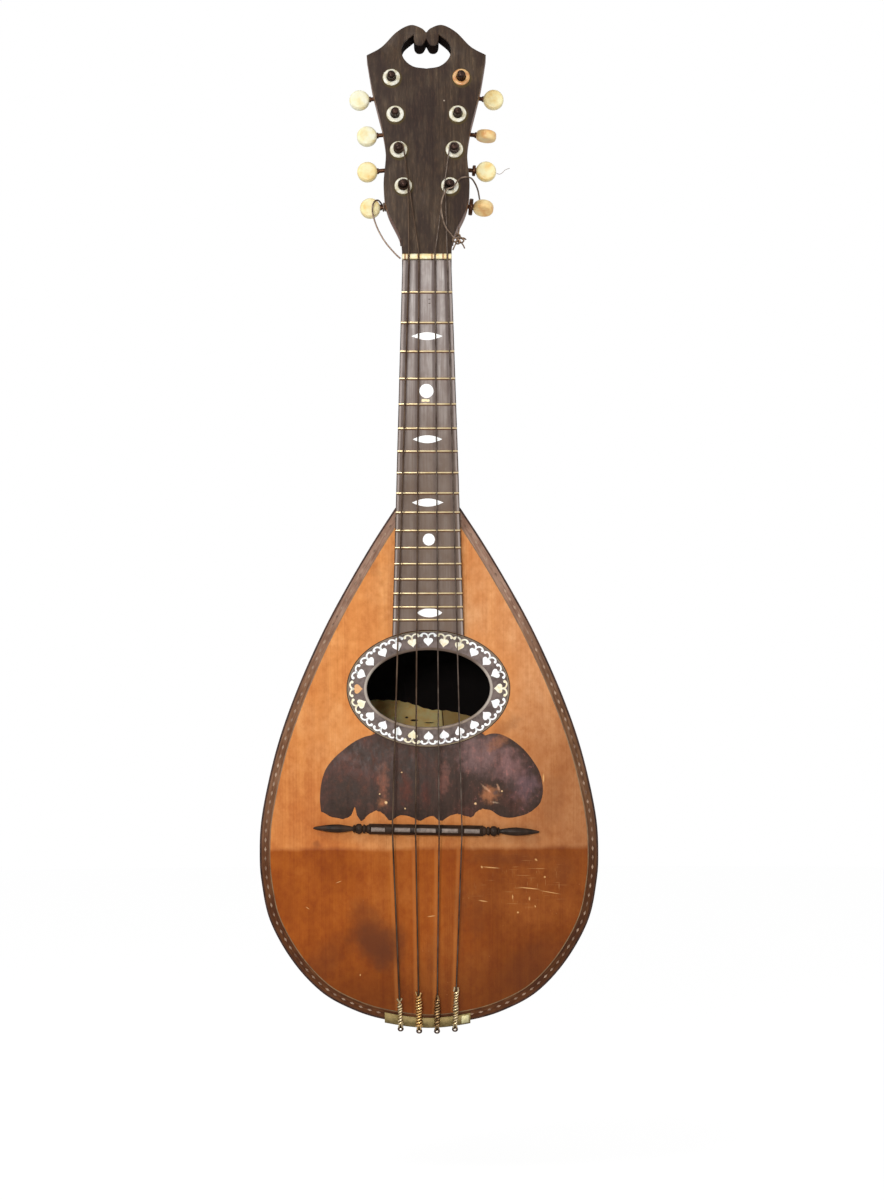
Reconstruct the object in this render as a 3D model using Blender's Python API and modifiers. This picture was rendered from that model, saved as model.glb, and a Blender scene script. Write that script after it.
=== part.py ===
"""Bowl back mandolin, built from its separate pieces.

+Z runs up the neck, the soundboard faces -Y, and the bowl swells towards +Y.
The origin is on the centre line, where the nut meets the fingerboard, in the soundboard's front plane.
"""
import math

import bmesh
import bpy
import numpy as np
from mathutils import Matrix, Vector

MM = 0.001
GAP = 0.3

# Driving sizes, in millimetres and degrees
SCALE_LENGTH = 330.0
FRET_COUNT = 17
BODY_JOINT_Z = -142.0
BEND_Z = -338.6
CANT = math.radians(6.5)
BOARD = 2.6
BAND_WIDTH = 6.2
BAND_OVERHANG = 1.6
RIB_COUNT = 11
RIB_THICKNESS = 2.2
BOWL_POWER = 2.15
INNER_GAP = 0.6
BODY_STEPS = 17

# Half outline of the soundboard and the depth of the bowl: z, half width, depth
BODY_POINTS = [
    (-142.0, 18.6, 30.0),
    (-162.0, 31.6, 46.0),
    (-183.6, 44.5, 63.0),
    (-206.6, 57.2, 81.0),
    (-229.5, 68.2, 98.0),
    (-252.5, 77.9, 113.0),
    (-275.5, 86.0, 125.0),
    (-298.5, 92.0, 133.5),
    (-321.4, 96.3, 138.5),
    (-340.0, 97.3, 140.0),
    (-356.4, 96.4, 138.5),
    (-379.4, 91.6, 131.5),
    (-402.6, 79.0, 113.5),
    (-420.6, 62.7, 90.0),
    (-430.8, 45.2, 65.0),
    (-437.0, 26.1, 37.5),
    (-440.3, 0.0, 0.0),
]

HOLE_Z = -246.0
ROSETTE = (47.0, 33.7)
SOUND_HOLE = (35.4, 22.1)
ROSETTE_DEPTH = 1.3
GUARD_DEPTH = 0.8

BOARD_WIDTHS = (28.0, 41.0)
FINGERBOARD = 4.5
FINGERBOARD_END_Z = -213.4
FRET_HEIGHT = 0.9
FRET_WIDTH = 1.1
NUT_LENGTH = 3.5
NUT_HEIGHT = 6.3

HEAD_TILT = math.radians(13.0)
HEAD_FOOT = (0.0, -1.6, 3.8)
VENEER = 1.6
HEAD_THICKNESS = 15.0

POST_PLACES = [(20.2, 106.9), (18.1, 84.5), (16.1, 62.9), (13.45, 40.9)]
POST_RADIUS = 2.5
POST_REACH = 8.5
KEY_REACH = [19.5, 17.2, 19.0, 20.0]
KEY_SLANT = math.radians(5.8)
KEY_TURN = {"left": (0.0, 0.0, 0.0, 0.0), "right": (0.0, 90.0, 0.0, 62.0)}
GEAR_TEETH = 14
GEAR_PITCH_RADIUS = 3.9
GEAR_TIP_RADIUS = 4.25
GEAR_TIP_WIDTH = 0.64
GEAR_ROOT_RADIUS = 3.2
GEAR_THICKNESS = 2.0
GEAR_DEPTH = 19.2
WORM_DISTANCE = 5.4
WORM_RADII = (1.9, 1.48, 1.05, 1.05, 1.05, 1.48)
WORM_PITCH = 2 * math.pi * GEAR_PITCH_RADIUS / GEAR_TEETH
WORM_PITCH_RADIUS = 1.5
WORM_TURNS = 3
WORM_RUNOUT = 0.6
SHAFT_RADIUS = 1.25
SHAFT_FOOT = 7.6
BUTTON_RADIUS = 5.95
BUTTON_THICKNESS = 5.4
BUTTON_FACE = (4.8, 1.6)

BRIDGE_Z = -327.0
BRIDGE_X = -1.5
BRIDGE_TILT = math.radians(1.2)
BRIDGE_BAR = (65.7, 6.0, 8.5)

TAIL_X = -1.2
TAIL_HALF = 24.7

# Strings: x at the tail, at the bridge and at the nut, wire radius, and the post that each one winds on
STRINGS = [
    (-16.8, -20.9, -10.2, 0.5, ("left", 3)),
    (-6.1, -7.6, -4.5, 0.45, ("left", 2)),
    (4.2, 5.9, 4.7, 0.4, ("right", 2)),
    (14.6, 19.0, 11.7, 0.4, ("right", 3)),
]


def smoothstep(value):
    value = min(max(value, 0.0), 1.0)
    return value * value * (3.0 - 2.0 * value)


def catmull(points, steps):
    """A smooth curve through points, with steps stretches between each pair."""
    points = [np.array(p, float) for p in points]
    padded = [2 * points[0] - points[1]] + points + [2 * points[-1] - points[-2]]
    curve = []
    for i in range(len(points) - 1):
        a, b, c, d = padded[i:i + 4]
        for k in range(steps):
            t = k / steps
            curve.append(0.5 * (2 * b + (c - a) * t + (2 * a - 5 * b + 4 * c - d) * t ** 2
                                + (3 * b - a - 3 * c + d) * t ** 3))
    curve.append(points[-1])
    return [tuple(p) for p in curve]


def grown(outline, distance):
    """A closed outline moved outwards by a distance."""
    points = [Vector(p) for p in outline]
    area = sum(a.x * b.y - b.x * a.y for a, b in zip(points, points[1:] + points[:1]))
    side = 1.0 if area > 0 else -1.0
    moved = []
    for i, point in enumerate(points):
        before = (point - points[i - 1]).normalized()
        after = (points[(i + 1) % len(points)] - point).normalized()
        across = Vector((before.y + after.y, -before.x - after.x)).normalized() * side
        reach = 1.0 / max(across.dot(Vector((after.y, -after.x)) * side), 0.6)
        moved.append(tuple(point + across * distance * reach))
    return moved


def ellipse(half_x, half_y, count, centre=(0.0, 0.0), start=0.0, sweep=2 * math.pi):
    angles = [start + sweep * i / count for i in range(count)]
    return [(centre[0] + half_x * math.cos(a), centre[1] + half_y * math.sin(a)) for a in angles]


# Scene, collections and materials

def clear_scene():
    for item in list(bpy.data.objects):
        bpy.data.objects.remove(item, do_unlink=True)
    for group in list(bpy.data.collections):
        bpy.data.collections.remove(group)


def make_collection(name):
    group = bpy.data.collections.new(name)
    bpy.context.scene.collection.children.link(group)
    return group


def material(name, colour, roughness, metallic=0.0):
    made = bpy.data.materials.get(name)
    if made is None:
        made = bpy.data.materials.new(name)
        made.use_nodes = True
        shader = made.node_tree.nodes["Principled BSDF"]
        shader.inputs["Base Color"].default_value = (*colour, 1.0)
        shader.inputs["Roughness"].default_value = roughness
        shader.inputs["Metallic"].default_value = metallic
    return made


clear_scene()
PARTS = make_collection("bowl_back_mandolin")
CUTTERS = make_collection("cutters")

SPRUCE = material("spruce_top", (0.62, 0.27, 0.07), 0.45)
ROSEWOOD = material("rosewood", (0.14, 0.045, 0.025), 0.4)
NECK_WOOD = material("neck_wood", (0.2, 0.075, 0.035), 0.45)
DARK_WOOD = material("dark_wood", (0.075, 0.055, 0.047), 0.5)
BAND_WOOD = material("edge_band", (0.16, 0.055, 0.03), 0.45)
PALE_WOOD = material("inner_wood", (0.6, 0.42, 0.24), 0.7)
TORTOISE = material("tortoiseshell", (0.11, 0.03, 0.028), 0.3)
ROSETTE_DARK = material("rosette_ground", (0.06, 0.035, 0.03), 0.35)
EBONY = material("ebony", (0.035, 0.028, 0.026), 0.45)
BONE = material("bone", (0.8, 0.66, 0.42), 0.4)
IVORY = material("button_ivory", (0.86, 0.7, 0.42), 0.35)
BRASS = material("brass", (0.45, 0.33, 0.15), 0.4, 1.0)
DARK_BRASS = material("dark_brass", (0.16, 0.09, 0.05), 0.45, 1.0)
WIRE = material("string_wire", (0.42, 0.3, 0.17), 0.4, 1.0)


# Frames that flat pieces are drawn in: x across, y up the instrument, z out of the front

def frame_of(origin, tilt=0.0):
    return Matrix.Translation(Vector(origin) * MM) @ Matrix.Rotation(math.radians(90.0) - tilt, 4, "X")


BODY_FRAME = frame_of((0.0, 0.0, 0.0))
HEAD_FRAME = frame_of(HEAD_FOOT, HEAD_TILT)


def head_point(x, up, front):
    """World position of a point given in the peghead's frame."""
    return HEAD_FRAME @ (Vector((x, up, front)) * MM) / MM


# Building helpers

def link(name, mesh, paint, frame=None, cutter=False):
    made = bpy.data.objects.new(name, mesh)
    (CUTTERS if cutter else PARTS).objects.link(made)
    if frame is not None:
        made.matrix_world = frame
    shade(mesh)
    if cutter:
        made.hide_render = True
        made.display_type = "WIRE"
    else:
        mesh.materials.clear()
        mesh.materials.append(paint)
    return made


def shade(mesh):
    """Round surfaces are shaded smooth, and the edges that are sharper than 40 degrees stay sharp."""
    mesh.shade_smooth()
    mesh.set_sharp_from_angle(angle=math.radians(40.0))


def loft(sections):
    """A closed mesh through sections with the same number of points, in millimetres."""
    count = len(sections[0])
    work = bmesh.new()
    rows = [[work.verts.new(Vector(p) * MM) for p in section] for section in sections]
    for low, high in zip(rows, rows[1:]):
        for i in range(count):
            j = (i + 1) % count
            work.faces.new((low[i], low[j], high[j], high[i]))
    work.faces.new(rows[0])
    work.faces.new(list(reversed(rows[-1])))
    bmesh.ops.recalc_face_normals(work, faces=work.faces)
    mesh = bpy.data.meshes.new("loft")
    work.to_mesh(mesh)
    work.free()
    return mesh


def plate_mesh(loops, front, back):
    """A flat plate between two heights, from an outline and any holes in it."""
    data = bpy.data.curves.new("outline", "CURVE")
    data.dimensions = "2D"
    data.fill_mode = "BOTH"
    data.extrude = (front - back) / 2 * MM
    for loop in loops:
        spline = data.splines.new("POLY")
        spline.points.add(len(loop) - 1)
        for point, (x, y) in zip(spline.points, loop):
            point.co = (x * MM, y * MM, 0.0, 1.0)
        spline.use_cyclic_u = True
    shape = bpy.data.objects.new("outline", data)
    bpy.context.scene.collection.objects.link(shape)
    mesh = mesh_of(shape, weld=True)
    mesh.transform(Matrix.Translation((0.0, 0.0, (front + back) / 2 * MM)))
    bpy.data.objects.remove(shape, do_unlink=True)
    return mesh


def mesh_of(item, weld=False):
    """The evaluated mesh of an object, with a curve's loose caps welded."""
    bpy.context.view_layer.update()
    graph = bpy.context.evaluated_depsgraph_get()
    mesh = bpy.data.meshes.new_from_object(item.evaluated_get(graph))
    if weld:
        work = bmesh.new()
        work.from_mesh(mesh)
        bmesh.ops.remove_doubles(work, verts=work.verts, dist=1e-6)
        bmesh.ops.recalc_face_normals(work, faces=work.faces)
        work.to_mesh(mesh)
        work.free()
    return mesh


def turned_mesh(profile, sides):
    """A turned solid about local Z, from radius and height pairs that run from its top to its bottom."""
    data = bpy.data.meshes.new("profile")
    points = [(radius * MM, 0.0, height * MM) for radius, height in profile]
    data.from_pydata(points, [(i, i + 1) for i in range(len(points) - 1)], [])
    shape = bpy.data.objects.new("profile", data)
    bpy.context.scene.collection.objects.link(shape)
    screw = shape.modifiers.new("turn", "SCREW")
    screw.axis = "Z"
    screw.steps = sides
    screw.render_steps = sides
    screw.use_merge_vertices = True
    screw.merge_threshold = 1e-6
    mesh = mesh_of(shape, weld=True)
    bpy.data.objects.remove(shape, do_unlink=True)
    return mesh


def tube_mesh(points, radius, radii=None):
    """A wire along points, as a curve with a round bevel and closed ends."""
    data = bpy.data.curves.new("wire", "CURVE")
    data.dimensions = "3D"
    data.bevel_depth = radius * MM
    data.bevel_resolution = 2
    data.use_fill_caps = True
    spline = data.splines.new("POLY")
    spline.points.add(len(points) - 1)
    for i, (point, place) in enumerate(zip(spline.points, points)):
        point.co = (*(Vector(place) * MM), 1.0)
        if radii:
            point.radius = radii[i]
    shape = bpy.data.objects.new("wire", data)
    bpy.context.scene.collection.objects.link(shape)
    mesh = mesh_of(shape, weld=True)
    bpy.data.objects.remove(shape, do_unlink=True)
    return mesh


def box_mesh(low, high):
    work = bmesh.new()
    bmesh.ops.create_cube(work, size=1.0)
    low, high = Vector(low), Vector(high)
    for vert in work.verts:
        vert.co = Vector([(low[k] + high[k]) / 2 + vert.co[k] * (high[k] - low[k]) for k in range(3)]) * MM
    mesh = bpy.data.meshes.new("box")
    work.to_mesh(mesh)
    work.free()
    return mesh


def joined_mesh(meshes):
    """Several meshes as one, for a cutter or as pieces that a union joins."""
    work = bmesh.new()
    for mesh in meshes:
        work.from_mesh(mesh)
    mesh = bpy.data.meshes.new("joined")
    work.to_mesh(mesh)
    work.free()
    return mesh


def moved_mesh(mesh, matrix):
    copy = mesh.copy()
    copy.transform(matrix)
    return copy


def boolean(item, mesh, operation, name, frame=None):
    """Cut a mesh from an object, or join it on."""
    tool = link(name, mesh, None, frame if frame is not None else item.matrix_world.copy(), cutter=True)
    change = item.modifiers.new(name, "BOOLEAN")
    change.operation = operation
    change.solver = "EXACT"
    change.object = tool
    return change


# The bowl's surface, from the outline and the depth

def body_curve():
    """Half outline and depth as a fine curve from the neck to the tail, with its arc length from 0 to 1."""
    past_tail = (BODY_POINTS[-2][0], -BODY_POINTS[-2][1], -BODY_POINTS[-2][2])
    fine = np.array(catmull(BODY_POINTS + [past_tail], 16))[:16 * (len(BODY_POINTS) - 1) + 1]
    steps = np.hypot(np.diff(fine[:, 0]), np.diff(fine[:, 1]))
    length = np.concatenate([[0.0], np.cumsum(steps)])
    return fine, length / length[-1]


BODY_FINE, BODY_LENGTH = body_curve()


def body_at(share):
    """Height, half width and depth at a share of the way round the rim from the neck to the tail."""
    return [float(np.interp(share, BODY_LENGTH, BODY_FINE[:, k])) for k in range(3)]


def rim(share, inset):
    """A point of the right rim, moved inwards: x and z. A share past 1 carries on up the left side."""
    side = 1.0
    if share > 1.0:
        share, side = 2.0 - share, -1.0
    z, x, _ = body_at(share)
    step = 0.004
    low = body_at(max(share - step, 0.0))
    high = body_at(min(share + step, 1.0))
    along = Vector((high[1] - low[1], high[0] - low[0]))
    if share > 1.0 - step:
        along = along.lerp(Vector((-1.0, 0.0)) * along.length, (share - 1.0 + step) / step)
    inwards = Vector((along.y, -along.x)).normalized()
    return side * (x + inwards.x * inset), z + inwards.y * inset


def bend(z):
    """How far behind the upper front plane the lower soundboard lies."""
    return max(0.0, BEND_Z - z) * math.tan(CANT)


RIM_DEPTH = BOARD + GAP


def bowl_point(share, angle):
    """A point of the ribs' outer surface: angle 0 is the right rim and pi the left one."""
    x, z = rim(min(share, 0.999), BAND_OVERHANG)
    _, half, depth = body_at(share)
    deep = depth * x / half
    power = BOWL_POWER
    size = (abs(math.cos(angle) / x) ** power + abs(math.sin(angle) / deep) ** power) ** (-1.0 / power)
    return Vector((size * math.cos(angle), bend(z) + RIM_DEPTH + size * math.sin(angle), z))


def bowl_normal(share, angle):
    step = 0.002
    flat = Vector((0.0, 1.0, 0.0))

    def level(point):
        return point - flat * bend(point.z)

    low = max(share - step, 0.0)
    along = level(bowl_point(share + step, angle)) - level(bowl_point(low, angle))
    across = level(bowl_point(share, angle + step)) - level(bowl_point(share, angle - step))
    return along.cross(across).normalized()


def station(index):
    """Share of the rim at a station. Stations lie closer together towards the tail."""
    return 1.0 - (1.0 - index / BODY_STEPS) ** 1.35


RIB_END = BODY_STEPS - 2
RIB_ANGLES = [math.pi * k / RIB_COUNT for k in range(RIB_COUNT + 1)]


def bowl_corner(index, edge, inside=0.0, shift=0.0):
    """A rib corner at a whole station: inside is a depth below the outer face, shift a step along the arc."""
    share = station(index)
    angle = RIB_ANGLES[edge]
    point = bowl_point(share, angle)
    centre = Vector((0.0, bend(point.z) + RIM_DEPTH, point.z))
    angle += shift / max((point - centre).length, 1.0)
    return bowl_point(share, angle) - bowl_normal(share, angle) * inside


def corner_between(place, edge, inside):
    """A corner on the straight line between two stations."""
    low = min(int(place), RIB_END - 1)
    return bowl_corner(low, edge, inside).lerp(bowl_corner(low + 1, edge, inside), place - low)


# Bowl

def make_ribs():
    for number in range(RIB_COUNT):
        sections = []
        start = GAP / 2 if number > 0 else 0.0
        end = GAP / 2 if number < RIB_COUNT - 1 else 0.0
        for index in range(RIB_END + 1):
            sections.append([
                bowl_corner(index, number, 0.0, start),
                bowl_corner(index, number + 1, 0.0, -end),
                bowl_corner(index, number + 1, RIB_THICKNESS, -end),
                bowl_corner(index, number, RIB_THICKNESS, start),
            ])
        link(f"rib_{number + 1:02d}", loft(sections), ROSEWOOD)


def make_block(name, places):
    """A block that fills the bowl's inside between two places."""
    inside = RIB_THICKNESS + INNER_GAP
    sections = [[corner_between(place, edge, inside) for edge in range(RIB_COUNT + 1)] for place in places]
    link(name, loft(sections), PALE_WOOD)


LINING = (5.0, 8.0)
LINING_PLACES = [2.03] + list(range(3, 14)) + [13.45]


def lining_section(place):
    wide, tall = LINING
    inside = RIB_THICKNESS + INNER_GAP
    top = corner_between(place, 0, inside)
    low = corner_between(place, 1, inside)
    foot = top + (low - top).normalized() * tall
    inwards = -bowl_normal(station(place), 0.0)
    inwards.y = 0.0
    inwards.normalize()
    return [top, foot, foot + inwards * wide, top + inwards * wide]


def make_linings():
    for name, side in (("lining_right", 1.0), ("lining_left", -1.0)):
        sections = [[(side * p.x, p.y, p.z) for p in lining_section(place)] for place in LINING_PLACES]
        link(name, loft(sections), PALE_WOOD)


BRACE_PLACES = {"brace_upper": -205.0, "brace_lower": -291.0}
BRACE_WIDTH = 6.0
BRACE_HEIGHT = 11.0
BRACE_END = 4.0
BRACE_TAPER = 25.0


def make_brace(name, z):
    """A cross brace between the linings. Its ends taper, and its back edges are chamfered."""
    faces = np.array([(p.z, p.x) for p in (lining_section(place)[2] for place in LINING_PLACES)])[::-1]
    half = min(np.interp(z + side * BRACE_WIDTH, faces[:, 0], faces[:, 1]) for side in (-1.0, 1.0)) - GAP
    edge = BRACE_WIDTH / 2
    sections = []
    for x, height in ((-half, BRACE_END), (-half + BRACE_TAPER, BRACE_HEIGHT),
                      (half - BRACE_TAPER, BRACE_HEIGHT), (half, BRACE_END)):
        front, back = RIM_DEPTH, RIM_DEPTH + height
        sections.append([(x, front, z - edge), (x, front, z + edge),
                         (x, back, z + edge - 1.0), (x, back, z - edge + 1.0)])
    link(name, loft(sections), PALE_WOOD)


CLASP_START = 0.62
CLASP_COLUMNS = 22
CLASP_LEVELS = 3
CLASP_GAP = 0.6
CLASP_THICKNESS = 1.0
CLASP_END_HEIGHT = 9.0
CLASP_TAIL_HEIGHT = 30.0


def make_end_clasp():
    """The broad band that caps the rib ends round the tail."""
    table = [(rim(share, BAND_OVERHANG), body_at(share)) for share in np.linspace(0.4, 0.998, 240)]
    heights = np.array([z for (_, z), _ in table])[::-1]
    halves = np.array([x for (x, _), _ in table])[::-1]
    depths = np.array([body[2] * x / body[1] for (x, _), body in table])[::-1]

    def outside(x, z, deep):
        if z < heights[0]:
            return True
        half = np.interp(z, heights, halves)
        bottom = np.interp(z, heights, depths)
        return (abs(x) / half) ** BOWL_POWER + (deep / bottom) ** BOWL_POWER > 1.0

    grid = []
    for column in range(CLASP_COLUMNS + 1):
        share = CLASP_START + (2.0 - 2.0 * CLASP_START) * column / CLASP_COLUMNS
        x0, z0 = rim(share, BAND_OVERHANG)
        x1, z1 = rim(share, BAND_OVERHANG + 1.0)
        near_tail = 1.0 - abs(1.0 - share) / (1.0 - CLASP_START)
        tall = CLASP_END_HEIGHT + (CLASP_TAIL_HEIGHT - CLASP_END_HEIGHT) * smoothstep(near_tail * 1.15)
        points = []
        for level in range(CLASP_LEVELS + 1):
            deep = tall * level / CLASP_LEVELS
            low, high = 0.0, 60.0
            for _ in range(30):
                middle = (low + high) / 2
                if outside(x0 + (x1 - x0) * middle, z0 + (z1 - z0) * middle, deep):
                    low = middle
                else:
                    high = middle
            x, z = x0 + (x1 - x0) * high, z0 + (z1 - z0) * high
            points.append(Vector((x, deep, z)))
        grid.append(points)
    sections = []
    for column, points in enumerate(grid):
        before = grid[max(column - 1, 0)]
        after = grid[min(column + 1, CLASP_COLUMNS)]
        inner, outer = [], []
        for level, point in enumerate(points):
            along = after[level] - before[level]
            down = points[min(level + 1, CLASP_LEVELS)] - points[max(level - 1, 0)]
            out = down.cross(along).normalized()
            if out.dot(Vector((point.x, 0.0, point.z - BEND_Z))) < 0:
                out = -out
            if level == 0:
                out = Vector((out.x, 0.0, out.z)).normalized()
            for row, distance in ((inner, CLASP_GAP), (outer, CLASP_GAP + CLASP_THICKNESS)):
                place = point + out * distance
                row.append((place.x, place.y + bend(place.z) + RIM_DEPTH, place.z))
        sections.append(outer + inner[::-1])
    link("end_clasp", loft(sections), ROSEWOOD)


# Soundboard and what is let into it

GUARD_SIDE_LEFT = [(-37.0, -272.2), (-46.1, -277.0), (-52.8, -282.0), (-57.2, -288.4), (-60.3, -295.5),
                   (-62.0, -303.0), (-62.5, -310.0), (-61.9, -316.5)]
GUARD_LOWER = [(-61.9, -316.5), (-55.5, -319.6), (-49.2, -320.6), (-44.6, -318.6), (-42.6, -313.8),
               (-41.2, -318.6), (-38.6, -321.8), (-35.2, -318.6), (-30.2, -316.0), (-25.6, -318.2),
               (-22.3, -321.6), (-16.1, -318.7), (-10.4, -319.6), (-4.7, -321.8), (1.2, -319.0),
               (6.8, -322.0), (11.4, -319.4), (16.3, -318.0), (21.0, -319.2), (24.8, -319.9),
               (27.2, -317.0), (31.0, -315.2), (36.6, -316.6), (43.3, -320.2), (53.0, -319.4), (59.4, -316.4)]
GUARD_SIDE_RIGHT = [(59.4, -316.4), (63.8, -312.0), (65.6, -305.0), (64.3, -294.0), (58.6, -283.6),
                    (49.6, -275.6), (40.6, -272.0)]
GUARD_TOP_ENDS = (-36.0, 38.5)


def guard_outline(gap_to_ring):
    """Pickguard outline. Its top follows the rosette, at a distance from it."""
    half_x, half_z = ROSETTE[0] + gap_to_ring, ROSETTE[1] + gap_to_ring
    start = -math.acos(GUARD_TOP_ENDS[1] / half_x)
    end = -math.acos(GUARD_TOP_ENDS[0] / half_x)
    top = ellipse(half_x, half_z, 14, (0.0, HOLE_Z), start, end - start)
    top.append((half_x * math.cos(end), HOLE_Z + half_z * math.sin(end)))
    left = catmull(GUARD_SIDE_LEFT, 1)
    right = catmull(GUARD_SIDE_RIGHT, 2)
    return top + left + GUARD_LOWER[1:] + right[1:]


RIM_STATIONS = 26


def rim_shares():
    return [1.0 - (1.0 - i / RIM_STATIONS) ** 1.35 for i in range(RIM_STATIONS + 1)]


def make_soundboard():
    shares = rim_shares()
    half = [rim(share, BAND_WIDTH + GAP) for share in reversed(shares)]
    half[0] = (0.0, half[0][1])
    outline = half + [(-x, z) for x, z in reversed(half[1:])]
    flat = plate_mesh([outline], 0.0, -BOARD)
    work = bmesh.new()
    work.from_mesh(flat)
    everything = work.verts[:] + work.edges[:] + work.faces[:]
    bmesh.ops.bisect_plane(work, geom=everything, plane_co=(0.0, BEND_Z * MM, 0.0), plane_no=(0.0, 1.0, 0.0))
    for vert in work.verts:
        vert.co.z -= bend(vert.co.y / MM) * MM
    work.to_mesh(flat)
    work.free()
    board = link("soundboard", flat, SPRUCE, BODY_FRAME)
    hole = ellipse(SOUND_HOLE[0] + 1.0, SOUND_HOLE[1] + 1.0, 32, (0.0, HOLE_Z))
    boolean(board, plate_mesh([hole], 5.0, -8.0), "DIFFERENCE", "cut_sound_hole")
    seat = ellipse(ROSETTE[0] + GAP, ROSETTE[1] + GAP, 40, (0.0, HOLE_Z))
    boolean(board, plate_mesh([seat], 5.0, -ROSETTE_DEPTH - GAP), "DIFFERENCE", "cut_rosette_seat")
    recess = grown(guard_outline(-3.0), GAP)
    boolean(board, plate_mesh([recess], 5.0, -GUARD_DEPTH - GAP), "DIFFERENCE", "cut_pickguard_seat")


def make_rosette():
    outer = ellipse(*ROSETTE, 40, (0.0, HOLE_Z))
    inner = ellipse(*SOUND_HOLE, 40, (0.0, HOLE_Z))
    link("rosette_ring", plate_mesh([outer, inner], 0.0, -ROSETTE_DEPTH), ROSETTE_DARK, BODY_FRAME)


def make_pickguard():
    link("pickguard", plate_mesh([guard_outline(GAP)], 0.0, -GUARD_DEPTH), TORTOISE, BODY_FRAME)


def make_edge_binding():
    shares = rim_shares()
    sections = []
    for share in shares + [2.0 - s for s in reversed(shares[:-1])]:
        outer = rim(share, 0.0)
        inner = rim(share, BAND_WIDTH)
        corners = [(outer, 0.0), (inner, 0.0), (inner, BOARD), (outer, BOARD)]
        sections.append([(x, bend(z) + deep, z) for (x, z), deep in corners])
    link("edge_binding", loft(sections), BAND_WOOD)


# Bridge and tailpiece

# Half of the turned end from its tip inwards: radius, distance from the bridge's middle
BRIDGE_END = [(0.0, 65.0), (0.5, 64.6), (1.3, 61.0), (2.1, 56.0), (2.4, 51.0), (1.9, 46.0), (1.3, 42.6),
              (2.5, 40.2), (3.0, 38.8), (2.5, 37.4), (1.8, 36.9), (2.5, 36.4), (3.0, 35.0), (2.4, 33.6),
              (2.0, 33.0), (2.0, 29.0), (0.0, 29.0)]
BRIDGE_END_AXIS = 3.15
BRIDGE_SHOULDER = (6.0, 0.62)
BRIDGE_CREST = 1.1
NOTCH_PLACES = (-20.0, -8.0, 5.0, 18.0)
NOTCH = (0.8, 1.1)


def make_bridge():
    length, wide, tall = BRIDGE_BAR
    half = length / 2
    run, low = BRIDGE_SHOULDER
    frame = (Matrix.Translation(Vector((BRIDGE_X, -GAP, BRIDGE_Z)) * MM)
             @ Matrix.Rotation(math.radians(90.0), 4, "X") @ Matrix.Rotation(-BRIDGE_TILT, 4, "Z"))
    sections = []
    for x, share in ((-half, low), (-half + run, 1.0), (half - run, 1.0), (half, low)):
        top = tall * share
        sections.append([(x, -wide / 2, 0.0), (x, wide / 2, 0.0), (x, wide / 2, top * low),
                         (x, BRIDGE_CREST, top), (x, -BRIDGE_CREST, top), (x, -wide / 2, top * low)])
    bridge = link("bridge", loft(sections), EBONY, frame)
    turned = turned_mesh(BRIDGE_END, 8)
    raised = Matrix.Translation((0.0, 0.0, BRIDGE_END_AXIS * MM))
    for name, angle in (("bridge_end_right", 90.0), ("bridge_end_left", -90.0)):
        place = raised @ Matrix.Rotation(math.radians(angle), 4, "Y")
        boolean(bridge, moved_mesh(turned, place), "UNION", name)
    across, deep = NOTCH
    notches = []
    for x in NOTCH_PLACES:
        notches.append(box_mesh((x - across, -wide, tall - deep), (x + across, wide, tall + deep)))
    boolean(bridge, joined_mesh(notches), "DIFFERENCE", "cut_bridge_notches")


def tail_rim(x, outwards):
    """Height of the rim's outline below x, near the tail, moved outwards."""
    points = np.array([rim(share, -outwards) for share in np.linspace(0.8, 1.0, 40)])[::-1]
    return float(np.interp(abs(x), points[:, 0], points[:, 1]))


PIN_DEPTH = 5.0
PLATE = 1.0
TAIL_GAP = 0.7
TAIL_FLANGE = 7.5
TAIL_WALL = 16.0
TAIL_STEPS = 12
HITCH_PIN = [(0.0, 3.9), (1.2, 3.5), (1.8, 2.2), (1.3, 0.9), (0.8, 0.5), (0.8, -0.5), (0.0, -0.5)]


def make_tailpiece():
    """A plate with a flange over the soundboard's edge and a wall down the tail, with four hitch pins."""
    front, back = -GAP - PLATE, -GAP
    corners = ((-TAIL_FLANGE, front), (TAIL_GAP + PLATE, front), (TAIL_GAP + PLATE, TAIL_WALL),
               (TAIL_GAP, TAIL_WALL), (TAIL_GAP, back), (-TAIL_FLANGE, back))
    sections = []
    for i in range(TAIL_STEPS + 1):
        x = TAIL_X - TAIL_HALF + 2 * TAIL_HALF * i / TAIL_STEPS
        heights = [(tail_rim(x, out), deep) for out, deep in corners]
        sections.append([(x, bend(z) + deep, z) for z, deep in heights])
    plate = link("tailpiece", loft(sections), BRASS)
    pin = turned_mesh(HITCH_PIN, 8)
    pin.transform(Matrix.Rotation(math.pi, 4, "X"))
    pins = []
    for x, *_ in STRINGS:
        z = tail_rim(x, TAIL_GAP + PLATE)
        pins.append(moved_mesh(pin, Matrix.Translation(Vector((x, bend(z) + PIN_DEPTH, z)) * MM)))
    boolean(plate, joined_mesh(pins), "UNION", "hitch_pins")


# Neck and peghead

HEAD_SIDE = [(14.05, 0.0), (15.8, 11.8), (22.6, 27.0), (24.8, 41.0), (23.5, 60.0), (25.1, 74.4),
             (28.3, 88.0), (31.7, 102.7), (34.6, 120.5)]
HEAD_TOP = [(34.6, 120.5), (25.9, 125.6), (17.4, 134.6), (9.3, 139.0), (2.9, 137.2), (0.0, 134.5)]
CUTOUT_LOW = [(0.0, 112.3), (7.4, 113.6), (12.4, 117.6), (14.3, 122.8), (13.0, 128.0), (7.3, 133.2)]
CUTOUT_LOBE = [(7.0, 129.0), (5.6, 126.9), (3.6, 126.5), (1.7, 127.4), (0.0, 130.6)]


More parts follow.
